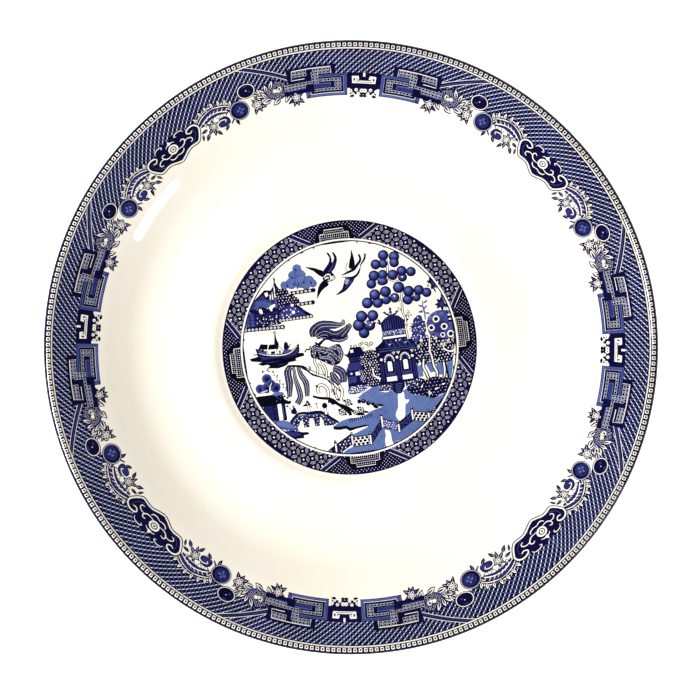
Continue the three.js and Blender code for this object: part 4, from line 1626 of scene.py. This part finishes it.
def drawWater(art):
    water = [
        (0.5, -22.2), (3, -20.5), (8, -18.3), (10.2, -18.3), (10.4, -20.9), (13, -21.6), (16, -21),
        (17.4, -23), (22, -21.2), (24, -23.4), (30, -25.8), (34, -27),
        (37, -25.8), (41, -23), (44, -18), (47, -14), (44, -28), (36, -38), (22, -45), (8, -49),
        (-8, -48), (-10, -45.6), (-7, -43.8), (-4.4, -43),
        (-4.6, -38), (3, -35.4), (3.4, -33.8), (-4, -34), (-11.8, -33.4), (-8, -31.2), (-4, -30.4),
        (0, -31), (3, -30.2), (5, -28.8), (11, -27.4), (7, -25.8), (3, -24.4),
    ]
    art.shape("pale", water)
    art.scatter("middle", water, 1.2, 0.19, 5, 0.3)
    for region in (
        [
            (18.2, -22.6), (20.6, -22.6), (20.7, -25.6), (22.6, -26.2), (21.4, -27.6), (20.6, -28),
            (20.2, -30.5), (19.6, -33.2), (17.4, -34.8), (15.9, -33), (16, -31), (17.2, -29), (17.6, -26),
        ],
        [
            (10.2, -37.8), (12, -38.2), (12.6, -40), (12.6, -42.6), (13.2, -45), (10.2, -45.4),
            (9.6, -42.6), (10.3, -40),
        ],
    ):
        art.blob("bare", region, 3)
    # the bank under the willow with a dark lower edge and grass along it
    art.shape("pale", [
        (-12, -33.2), (-8.4, -31.4), (-4, -30.4), (0, -31), (4, -33), (3.4, -35), (-3, -35.6),
        (-11.8, -34.2),
    ])
    art.line("inky", [
        (-11.8, -33.9), (-8.6, -34.3), (-6.2, -34.1), (-4.8, -35.3), (-2, -35), (1.6, -34.6),
        (3.4, -34.7),
    ], (1.1, 1.5, 1, 1.5, 0.9, 0.7, 0.4), 3)
    for i in range(11):
        x = -4.4 + i * 0.95
        art.line("deep", [(x, -31.0 + 0.12 * i), (x + 0.3, -32.6 + 0.1 * i)], (0.7, 0.15), 1)
    art.blob("bare", [
        (-1, -22), (0.6, -23), (3, -24.3), (7, -25.8), (9.6, -27), (7.2, -28.2), (3.4, -28.8), (1, -30.2),
        (-3, -30.4), (-4, -28),
    ], 3)
    for x, y, wide, tall in (
        (0.9, -23.9, 0.9, 1), (2.7, -24.1, 1.1, 1), (4.7, -25.2, 1.1, 1), (6.6, -25.8, 0.9, 0.7),
        (7.8, -27, 1.3, 0.9), (9.8, -26.8, 1.5, 0.55), (3.2, -28.8, 1.2, 0.5),
    ):
        art.oval("inky", x, y, wide, tall, 10, -15)
    for x, y in ((2.6, -23.8), (8.6, -26.8), (5, -25)):
        art.oval("pale", x, y, 0.4, 0.3, 7)


def drawFence(art):
    def panel(left, right, drop, ground, light, pitch):
        (ax, ay), (bx, by) = left, right
        corners = [(ax, ay), (bx, by), (bx, by - drop), (ax, ay - drop)]
        art.shape("deep", [(x, y + (0.35 if i < 2 else -0.35)) for i, (x, y) in enumerate(corners)])
        art.shape(ground, corners)
        art.scatter(light, corners, pitch, 0.28, 6, 0.15)
        return corners

    panel((-15.4, -43.3), (-4.8, -37.6), 4.2, "deep", "middle", 1.25)
    art.scatter("bare", [(-10, -41), (-5, -38.4), (-5, -42), (-10, -44)], 1.5, 0.3, 6)
    for left, right in (((-4.2, -39.2), (3.4, -39.2)), ((23.2, -31.6), (30, -33))):
        (ax, ay), (bx, by) = left, right
        corners = [(ax, ay), (bx, by), (bx, by - 3.6), (ax, ay - 3.6)]
        art.shape("deep", [(x, y + (0.45 if i < 2 else -0.45)) for i, (x, y) in enumerate(corners)])
        art.shape("bare", corners)
        for i in range(4):
            for j in range(3):
                t, s = (i + 0.5 * (j % 2) + 0.25) / 4, (j + 0.5) / 3
                if t < 1:
                    art.oval("deep", ax + (bx - ax) * t, ay + (by - ay) * t - 3.6 * s, 0.75, 0.62, 7)
    panel((3.6, -39.6), (9.6, -32.6), 3.4, "deep", "middle", 1)
    panel((9.6, -32.8), (16.4, -35.4), 3.4, "middle", "bare", 1.15)
    panel((16.6, -35.4), (23, -31.8), 3.4, "deep", "middle", 1)
    for x, top, foot in (
        (-11.9, -39.6, -44.6), (-4.4, -37.2, -42.4), (3.5, -38, -43.3), (9.5, -30.6, -36.7),
        (16.4, -35, -39.8), (23, -29.7, -35.2), (30, -31.8, -35.8),
    ):
        art.box("deep", x - 0.62, foot, x + 0.62, top - 0.4)
        art.box("bare", x - 0.32, foot + 0.3, x + 0.32, top - 1)
        art.oval("deep", x, top, 0.6, 0.55, 8)
        art.oval("bare", x, top, 0.2, 0.2, 6)
    art.line("deep", [(30.4, -33.5), (33.5, -31.2), (37, -27.5)], (1.2, 1, 0.4), 2)
    art.scatter("bare", [(30.6, -33.4), (33, -31), (34, -32.5), (31, -35)], 0.9, 0.2, 5)


def drawBoat(art):
    art.shape("inky", [
        (-43.8, 0.9), (-40.5, 1.4), (-39, 2.2), (-24, 1), (-20.1, 0.4), (-20.1, -0.9), (-22.4, -1.2),
        (-24, -1.6), (-23.6, -2.6), (-27, -2.8), (-28, -3.8), (-30, -4.4),
        (-32, -4.8), (-34.6, -4.4), (-36.8, -4.2), (-35.4, -3.2), (-36.4, -2.6), (-38.6, -2.8),
        (-40.8, -1.6), (-38.6, -1.2), (-43.2, -0.2),
    ])
    art.line("deep", [(-42.2, 2.6), (-38, 2)], (0.3, 0.9), 1)
    for x, y, reach in ((-34, -1.6, 3.4), (-27, -0.6, 2.6), (-30.5, -3.1, 1.8), (-37.4, -0.3, 1.6)):
        art.line("royal", [(x - reach, y), (x, y - 0.1), (x + reach, y + 0.1)], (0.1, 0.45, 0.1), 3)
    art.shape("deep", [
        (-40.7, 5.2), (-39.2, 4.6), (-35, 2.2), (-29, 1.4), (-24.6, 2.6), (-21.6, 4.9), (-21.8, 1.4),
        (-23.4, -0.6), (-38, -0.6), (-40.2, 2),
    ])
    art.shape("royal", [
        (-39.6, 1.8), (-36.6, 0.8), (-30, -0.1), (-24.4, 0.9), (-22.2, 3), (-22.6, 0.8), (-24, -0.2),
        (-38, -0.2),
    ])
    art.shape("middle", [(-40, 4.4), (-38.6, 3.6), (-35.4, 3.6), (-35.4, 1.9), (-38.6, 2.7)])
    art.shape("middle", [(-29.6, 1.4), (-28.2, 3.2), (-25.4, 2.6), (-24.4, 2.2), (-26.6, 1.4)])
    art.oval("deep", -37.7, 3.7, 0.7, 0.6, 8)
    art.line("bare", [
        (-39.6, 2.9), (-36.6, 1.7), (-33, 1), (-29, 0.7), (-25.4, 1.5), (-22.6, 3.8),
    ], (0.2, 0.4, 0.25))
    art.shape("inky", [(-39.5, 4.5), (-38.2, 6.7), (-35, 6.1), (-35.6, 3.9)])
    art.shape("inky", [(-35.4, 3.9), (-34.4, 6.1), (-30.3, 5.5), (-31.2, 3.6)])
    art.line("bare", [(-34.8, 5.9), (-35.8, 3.2), (-35.8, 1.9)], 0.35, 1)
    art.shape("bare", [(-35.3, 3.7), (-31.6, 3.4), (-31.6, 1.4), (-35.3, 1.8)])
    art.box("deep", -34.2, 1.7, -32.4, 2.9)
    art.shape("bare", [(-31.4, 3), (-30.3, 4.6), (-29.2, 2.9), (-29.4, 1.4), (-31.2, 1.5)])
    art.line("deep", [(-31.9, 2.6), (-30.3, 4.8), (-28.9, 2.6)], 0.35, 1)
    art.box("middle", -30.7, 1.6, -29.9, 2.9)
    art.shape("deep", [(-32.5, 5.3), (-31.9, 8), (-31.7, 10.2), (-31.2, 10.2), (-31, 8), (-30.1, 5.3)])
    art.oval("deep", -31.45, 10.9, 0.62, 0.62, 9)
    art.oval("bare", -31.45, 10.9, 0.26, 0.26, 6)
    art.blob("deep", [
        (-28.4, 3.2), (-28.2, 5), (-27.6, 6.2), (-26.7, 6), (-26.3, 4.8), (-26.1, 3.4), (-27.2, 2.8),
    ], 3)
    art.line("deep", [(-26.4, 3.4), (-25, 5.4)], (0.6, 0.2), 1)
    art.oval("middle", -27.2, 5.9, 0.3, 0.3, 6)


def drawCottageLeft(art):
    for x, y, r in (
        (-37.6, -8.6, 2.2), (-41, -12.6, 2.1), (-38.2, -12.6, 2.3), (-34.4, -12.9, 2.3), (-36, -11, 1.9),
    ):
        art.oval("middle", x, y, r, r, 14)
        art.oval("royal", x + 0.15, y - 0.1, r * 0.74, r * 0.74, 12)
        art.oval("deep", x + 0.3, y - 0.3, r * 0.4, r * 0.4, 10)
    art.line("bare", [(-35.6, -10.5), (-36.8, -12.6), (-37, -15.2)], (0.2, 0.45, 0.5), 3)
    art.line("bare", [(-38, -13.6), (-41, -14.2)], 0.3, 1)
    art.blob("pale", [(-36.4, -15.8), (-34.4, -14.9), (-31.7, -15.2), (-31, -16.4), (-34, -17)], 2)
    trail = [(-39.3, -5.8), (-36.4, -5.2), (-33.6, -7.4), (-32.4, -10.4), (-30.8, -12.6), (-29.4, -14.6)]
    trail = smooth([Vector(place) for place in trail], False, 4)
    for i, place in enumerate(trail):
        art.leaf("deep", place.x, place.y, 1.1, 0.55, 40 + 70 * (i % 3))
    art.shape("inky", [
        (-44.3, -15.7), (-36.2, -15.8), (-34.8, -16.6), (-31.9, -16.2), (-31.2, -18.3), (-29.6, -19.4),
        (-28.6, -19.3), (-29.2, -20.8), (-31, -20.6), (-41.4, -20.5), (-43.2, -18),
    ])
    for x, y in ((-34.2, -17.2), (-33, -18.2), (-34.6, -18.8), (-32.6, -16.8)):
        art.oval("middle", x, y, 0.3, 0.4, 6)
    wall = [(-42, -20.4), (-36.4, -20.4), (-36.4, -27.6), (-38.4, -26.6), (-40.4, -23.6)]
    art.shape("royal", wall)
    art.hatch("deep", wall, 90, 0.9, 0.35)
    art.hatch("deep", wall, 0, 1.1, 0.3)
    art.box("deep", -36.5, -27.6, -31.2, -20)
    art.box("bare", -34.6, -27.4, -32.9, -20.2)
    art.scatter("middle", [(-36.3, -27.4), (-34.8, -27.4), (-34.8, -20.4), (-36.3, -20.4)], 0.9, 0.2, 5)
    art.box("middle", -32.6, -26.6, -32.2, -20.8)
    art.line("deep", [(-31.2, -19.8), (-29.4, -20.6), (-28.6, -19.6)], 0.6, 3)
    for x, y in ((-31, -17.2), (-29.8, -18), (-30.4, -21.6)):
        art.oval("deep", x, y, 0.55, 0.5, 8)
    art.shape("middle", [
        (-38, -27.6), (-34, -27.3), (-31, -28.2), (-28.6, -29.8), (-27.2, -31.8), (-26.8, -33.2),
        (-31, -32.6), (-36, -30.2),
    ])
    art.shape("pale", [
        (-37.2, -27.9), (-34, -27.6), (-31, -28.7), (-28.8, -30.4), (-28.2, -31.6), (-31, -31.2),
        (-35.4, -29.6),
    ])
    art.shape("deep", [
        (-34.4, -32), (-31, -32.4), (-27.6, -32.6), (-25.8, -33.6), (-22.8, -34), (-22.7, -35),
        (-25, -35.2), (-25, -36.4), (-29, -36.2), (-32.4, -34.6),
    ])
    art.shape("royal", [(-33, -32.6), (-29, -33.2), (-27, -33.6), (-26, -34.8), (-29, -35.2), (-31.6, -34.2)])
    for x, y in ((-28.4, -32.6), (-27.2, -33), (-31.2, -32.2)):
        art.oval("bare", x, y, 0.28, 0.18, 6)


def drawBridge(art):
    body = [
        (-30, -29.2), (-26.4, -26.2), (-16.2, -26.4), (-10, -31.8), (-11.6, -32.5), (-15.6, -32.4),
        (-15.7, -30), (-16.2, -28.5), (-17, -28.6), (-17.3, -30), (-17.4, -32), (-19.6, -31.9),
        (-19.7, -29.6), (-20.3, -28.3), (-21.3, -28.3), (-21.9, -29.6), (-22, -32), (-24.4, -31.8),
        (-24.5, -29.4), (-25, -28.4), (-25.6, -28.8), (-26.2, -30.2), (-27.4, -31.8), (-28.6, -30.6),
    ]
    art.shape("deep", body)
    art.scatter("middle", body, 0.95, 0.3, 6, 0.25)
    art.scatter("bare", body, 1.5, 0.26, 6, 0.3)
    art.line("deep", [
        (-30, -28.8), (-26.2, -25.5), (-21.5, -25.9), (-16.3, -26.1), (-12.6, -29), (-9.2, -31.7),
    ], (0.9, 1.1, 1.2, 1.3, 1.1, 0.9), 2)
    art.line("pale", [(-28.8, -28.7), (-26, -26.5), (-16.4, -27), (-11, -31.4)], 0.22, 1)
    # three tiny walkers
    art.blob("deep", [
        (-29.2, -24.6), (-28.4, -23.2), (-27.5, -22.4), (-26.8, -23.4), (-26.6, -25), (-27.8, -25.6),
    ], 3)
    art.oval("middle", -27.9, -22.1, 0.5, 0.5, 8)
    art.line("deep", [(-29.8, -22.2), (-28.6, -24)], 0.3, 1)
    art.blob("deep", [(-24, -22.6), (-22.4, -21.6), (-21.6, -20.2), (-20.8, -21.2), (-20.4, -22.6)], 3)
    art.oval("bare", -21.6, -21.8, 0.35, 0.3, 7)
    art.bordered("deep", "bare", [(-21.4, -22.6), (-21.2, -25.4)], 0.7, 0.22)
    art.line("deep", [(-20.6, -23), (-19.8, -23.5)], 0.35, 1)
    art.line("deep", [(-17.8, -21.8), (-17.5, -24.6)], 0.3, 1)
    art.line("deep", [(-18.2, -22.2), (-17, -22)], 0.3, 1)
    art.oval("deep", -14.3, -23.6, 1.2, 1.3, 12)
    art.bordered("deep", "bare", [(-14.3, -24.8), (-14.1, -27.4)], 0.9, 0.22)
    art.line("middle", [(-13.2, -26.4), (-13.1, -28)], 0.3, 1)


def drawWillow(art):
    # trunk: two heavy lines with white between, then outlined branches
    art.line("bare", [(-12, -21.6), (-9, -23.4), (-6, -25.6), (-3.5, -28.4), (-3.4, -30)], 2.2)
    art.line("inky", [
        (-18.8, -18.9), (-16, -20), (-12, -20.9), (-10, -22.2), (-8, -24), (-5.6, -25.2), (-3, -27),
        (-1, -29), (2.4, -29.6),
    ], (0.9, 1.1, 1.3, 1.5, 1.1, 1.3, 1, 1.4, 1))
    art.line("inky", [
        (-12, -21.2), (-11.6, -23), (-9.4, -23.2), (-6.6, -25.6), (-4.2, -27.6), (-3.6, -29.4),
    ], (1, 1.8, 1, 1, 1.8, 1.2))
    for path, width in (
        ([
            (-7, -22), (-5.9, -19), (-6.6, -16), (-9, -13), (-12, -11.4), (-15, -10), (-18, -8.2),
            (-21.6, -5.6),
        ], 0.8),
        ([(-10, -18.6), (-9.5, -15), (-11.4, -12), (-12.4, -9), (-13.2, -6), (-14, -4.5)], 0.7),
        ([(-12.2, -20.2), (-12, -17), (-13.6, -14.8), (-15.4, -14.6), (-16.3, -16), (-16, -18)], 0.8),
        ([(-12, -12), (-11.5, -8.6), (-12.6, -5.4)], 0.6),
        ([(-8.2, -21.8), (-9, -18.8), (-8.6, -17)], 0.6),
        ([(-15.6, -10), (-15, -7), (-15.9, -4.6), (-15.6, -2)], 0.6),
    ):
        art.bordered("deep", "bare", path, width, 0.34)
    art.line("deep", [
        (-21.6, -5.4), (-19.6, -7.4), (-17.6, -9.6), (-14.4, -11), (-11, -13), (-8.6, -16), (-6.6, -18.4),
    ], (1, 0.8, 0.6, 0.7, 0.5, 0.4, 0.7))
    art.line("deep", [(-19.4, -7.8), (-18.4, -7.4), (-18.2, -6.2), (-18.9, -5.8)], 0.45, 3)
    art.line("deep", [(-19.6, 0.6), (-18.6, 1.8), (-17.6, 1.4), (-16.8, 3)], 0.6, 3)
    for path in (
        [(-9.8, -17), (-9.2, -19.6)], [(-8.6, -21.6), (-7.4, -22.3)], [(-11.6, -22.4), (-11, -23)],
        [(-17, -14.4), (-16, -15.2)],
    ):
        art.line("deep", path, (0.6, 0.9), 1)
    flows = (
        ("middle", 0.16, 0.28), ("bare", 0.34, 0.15), ("middle", 0.52, 0.3), ("bare", 0.7, 0.13),
        ("middle", 0.86, 0.26),
    )
    # foliage in combed locks, from the top down
    art.strand([
        (-14.6, 6.6), (-14.3, 9), (-11.2, 11), (-7, 10.8), (-3.4, 10), (-1.6, 10.6), (-0.9, 12.4),
    ], (2.6, 4.6, 4.2, 3.6, 2.8, 2.2, 0.8), flows)
    art.strand([
        (-13.8, 6.4), (-10, 7.6), (-6, 5.6), (-3, 6), (-0.4, 8), (2, 9.8),
    ], (2.4, 4.2, 4.8, 4.6, 3.4, 1.6), flows)
    art.strand([
        (-12, 6.2), (-7.4, 5), (-4, 4), (-1.2, 4.4), (-0.2, 5.6),
    ], (1, 2.2, 2.6, 2, 0.8), flows[:3])
    art.line("bare", [(-5.6, 8.6), (-3, 8.9), (-1, 9.6), (0.2, 10.8)], (0.15, 0.6, 0.7, 0.3))
    middle = [
        (-17.1, -2), (-17, 1.4), (-15.6, 3), (-13.6, 3.2), (-11, 1.6), (-8.6, 1.2), (-5.6, 2.2),
        (-3.8, 1.4), (-3.4, -2), (-5, -6), (-8.4, -6.8), (-11.6, -5), (-15, -3),
    ]
    art.blob("deep", middle)
    art.strand([(-15.8, -1.6), (-15, 1.2), (-11, 0), (-8, -1.4), (-6, -4)], (1.6, 2.8, 3.6, 3.4, 2.2), flows)
    art.strand([(-13.4, -2.8), (-9.4, -3.4), (-7.6, -5.8)], (1.2, 2.6, 1.6), flows)
    art.strand([(-9, 0.6), (-5.6, 0.6), (-4.2, -2), (-5.2, -5.2)], (1.4, 2.4, 2.6, 1.6), flows)
    art.line("deep", [(-14.6, 4.4), (-13.2, 3), (-10.4, 4.9), (-7, 4.8)], (0.5, 1.4, 0.9, 0.6), 3)
    art.scatter("bare", middle, 1.5, 0.2, 5, 0.4)
    art.strand([(-8.4, -7.8), (-6.2, -9), (-4.6, -11), (-4.6, -14.8)], (2, 3.6, 3.6, 2.4), flows)
    art.strand([(-9.2, -9.4), (-8.4, -12.4), (-6.2, -15.2)], (1.8, 3.4, 1.8), flows)
    # hanging locks on the left
    for path, widths in (
        ([(-26.7, -4.8), (-28.2, -7), (-28.1, -12), (-28.9, -17.8)], (2.2, 3.2, 3.3, 1.7)),
        ([(-25.3, -5), (-25.3, -10), (-24.4, -15), (-24.2, -18.5), (-26, -21.2)], (1.2, 1.7, 2.4, 2.5, 2.6)),
        ([(-23.4, -5.2), (-22.6, -9), (-20.9, -13), (-21.2, -18.6)], (1.5, 2.3, 2.7, 1.9)),
    ):
        art.strand(path, widths, flows)
    art.line("deep", [(-28, -4.4), (-24, -4.8), (-21.4, -5.6)], (0.9, 0.9, 1.1), 3)
    for x, y, r in ((-4, -23.6, 1.3), (-7, -27.4, 1.4), (1.1, -27.6, 1.2), (-1.4, -28.4, 0.9)):
        art.oval("deep", x, y, r * 1.15, r * 1.15, 12)
        art.petals("bare", x, y, r * 0.66, 6, r * 0.26, r * 0.24, 10)
        art.oval("pale", x, y, r * 0.36, r * 0.36, 8)
    for x, y in ((-5.6, -22.6), (-2.6, -24.6), (-5.8, -28.6), (-8.2, -26.4), (0, -26.4), (2.4, -28.6)):
        art.oval("deep", x, y, 0.6, 0.5, 8)


def drawMedallion():
    form = medallionForm
    art = Artwork(1.0, form["longestEdge"], form["seed"])
    drawWater(art)
    drawPagoda(art)
    drawSwallows(art)
    drawGrove(art)
    drawTeaHouse(art)
    drawFruit(art)
    drawShrubAndCottage(art)
    drawFence(art)
    drawBoat(art)
    drawCottageLeft(art)
    drawBridge(art)
    drawWillow(art)
    art.annulus("deep", form["lineOuter"] + 0.3, form["outer"])
    drawWeave(art)
    for quarter in range(4):
        drawSide(art, quarter)
    art.annulus("deep", form["outer"] - 0.5, form["outer"])
    art.annulus("bare", form["outer"], form["outer"] + 2)
    art.annulus("bare", form["lineOuter"], form["inner"])
    art.annulus("deep", form["lineInner"], form["lineOuter"])
    reach = form["gridReach"]
    grid = range(1 - reach, reach, form["gridStep"])
    return art.cut([(x, y) for x in grid for y in grid if math.hypot(x, y) < reach])


def uprightTurned(flat, turn):
    angle = math.radians(turn)
    x, y = flat[:, 0], flat[:, 1]
    return np.column_stack([
        x * math.cos(angle) - y * math.sin(angle), x * math.sin(angle) + y * math.cos(angle),
    ])


medallion = drawMedallion()
for tone in [tone for tone in inkLooks if medallion[1][tone]]:
    flat = uprightTurned(medallion[0], medallionForm["turn"])
    mesh = filmMesh("medallion_" + tone, [(flat, medallion[1][tone])], inkMaterials[tone])
    nodes = ["medallion_print"] if tone == "deep" else []
    newPiece("medallion_" + tone, mesh, "cobalt_print", *nodes)
    print("medallion", tone, len(mesh.polygons), "faces")


stageLook = {
    "lens": 1422.0,
    "distance": 12.0,
    "farthest": 40.0,
    "tilt": math.radians(1.3),
    "aim": (-0.00035, -0.00117, 0.030),
    "floorReach": 6.0,
    "floorDrop": 0.0002,
    "floorDull": (0.9, 0.9, 0.9, 1),
    "floorBright": (0.93, 0.93, 0.93, 1),
    "air": (1.0, 0.965, 0.9, 1),
    "airStrength": 0.075,
}
lightLooks = {
    "keyLight": {
        "place": (-0.9, -0.22, 1.25),
        "size": (0.4, 0.4),
        "watts": 36.0,
        "colour": (1.0, 0.98, 0.955),
    },
    "windowLight": {
        "place": (0.57, -0.391, 0.44),
        "size": (0.2, 0.026),
        "watts": 0.65,
        "colour": (1.0, 0.99, 0.97),
    },
}
lightAim = (0.0, 0.0, 0.02)


def aimedAt(thing, target):
    way = Vector(target) - thing.location
    thing.rotation_euler = way.to_track_quat("-Z", "Y").to_euler()


camera = bpy.data.objects.new("camera", bpy.data.cameras.new("camera"))
bpy.context.scene.collection.objects.link(camera)
camera.data.lens = stageLook["lens"]
camera.data.clip_end = stageLook["farthest"]
tilt, distance = stageLook["tilt"], stageLook["distance"]
aim = Vector(stageLook["aim"])
camera.location = aim + Vector((-math.sin(tilt) * distance, 0.0, math.cos(tilt) * distance))
camera.rotation_euler = (0.0, -tilt, 0.0)
bpy.context.scene.camera = camera


def floorFinish():
    def build(wiring, place):
        cloud = noiseOf(wiring, place, 3.0, 2.0)
        return {"Base Color": wiring.mixColour(cloud, stageLook["floorDull"], stageLook["floorBright"])}

    glow = {"Emission Color": (1, 1, 1, 1), "Emission Strength": 1.0}
    return newMaterial("paleFloor", {"Roughness": 0.9, "Specular IOR Level": 0.1, **glow}, build)


floorMesh = bpy.data.meshes.new("floor")
reach = stageLook["floorReach"]
floorCorners = [(-reach, -reach, 0), (reach, -reach, 0), (reach, reach, 0), (-reach, reach, 0)]
floorMesh.from_pydata(floorCorners, [], [(0, 1, 2, 3)])
floorMesh.materials.append(floorFinish())
floor = bpy.data.objects.new("floor", floorMesh)
floor.location.z = -stageLook["floorDrop"]
bpy.context.scene.collection.objects.link(floor)


def softLight(name, look):
    lamp = bpy.data.lights.new(name, "AREA")
    lamp.shape = "RECTANGLE"
    lamp.size, lamp.size_y = look["size"]
    lamp.energy = look["watts"]
    lamp.color = look["colour"]
    light = bpy.data.objects.new(name, lamp)
    light.location = look["place"]
    bpy.context.scene.collection.objects.link(light)
    aimedAt(light, lightAim)


for name, look in lightLooks.items():
    softLight(name, look)
print("floor, camera and lights placed")

world = bpy.data.worlds.new("studio")
bpy.context.scene.world = world
world.use_nodes = True
background = world.node_tree.nodes["Background"]
background.inputs["Color"].default_value = stageLook["air"]
background.inputs["Strength"].default_value = stageLook["airStrength"]
bpy.context.scene.view_settings.view_transform = "Standard"
bpy.context.scene.view_settings.look = "None"
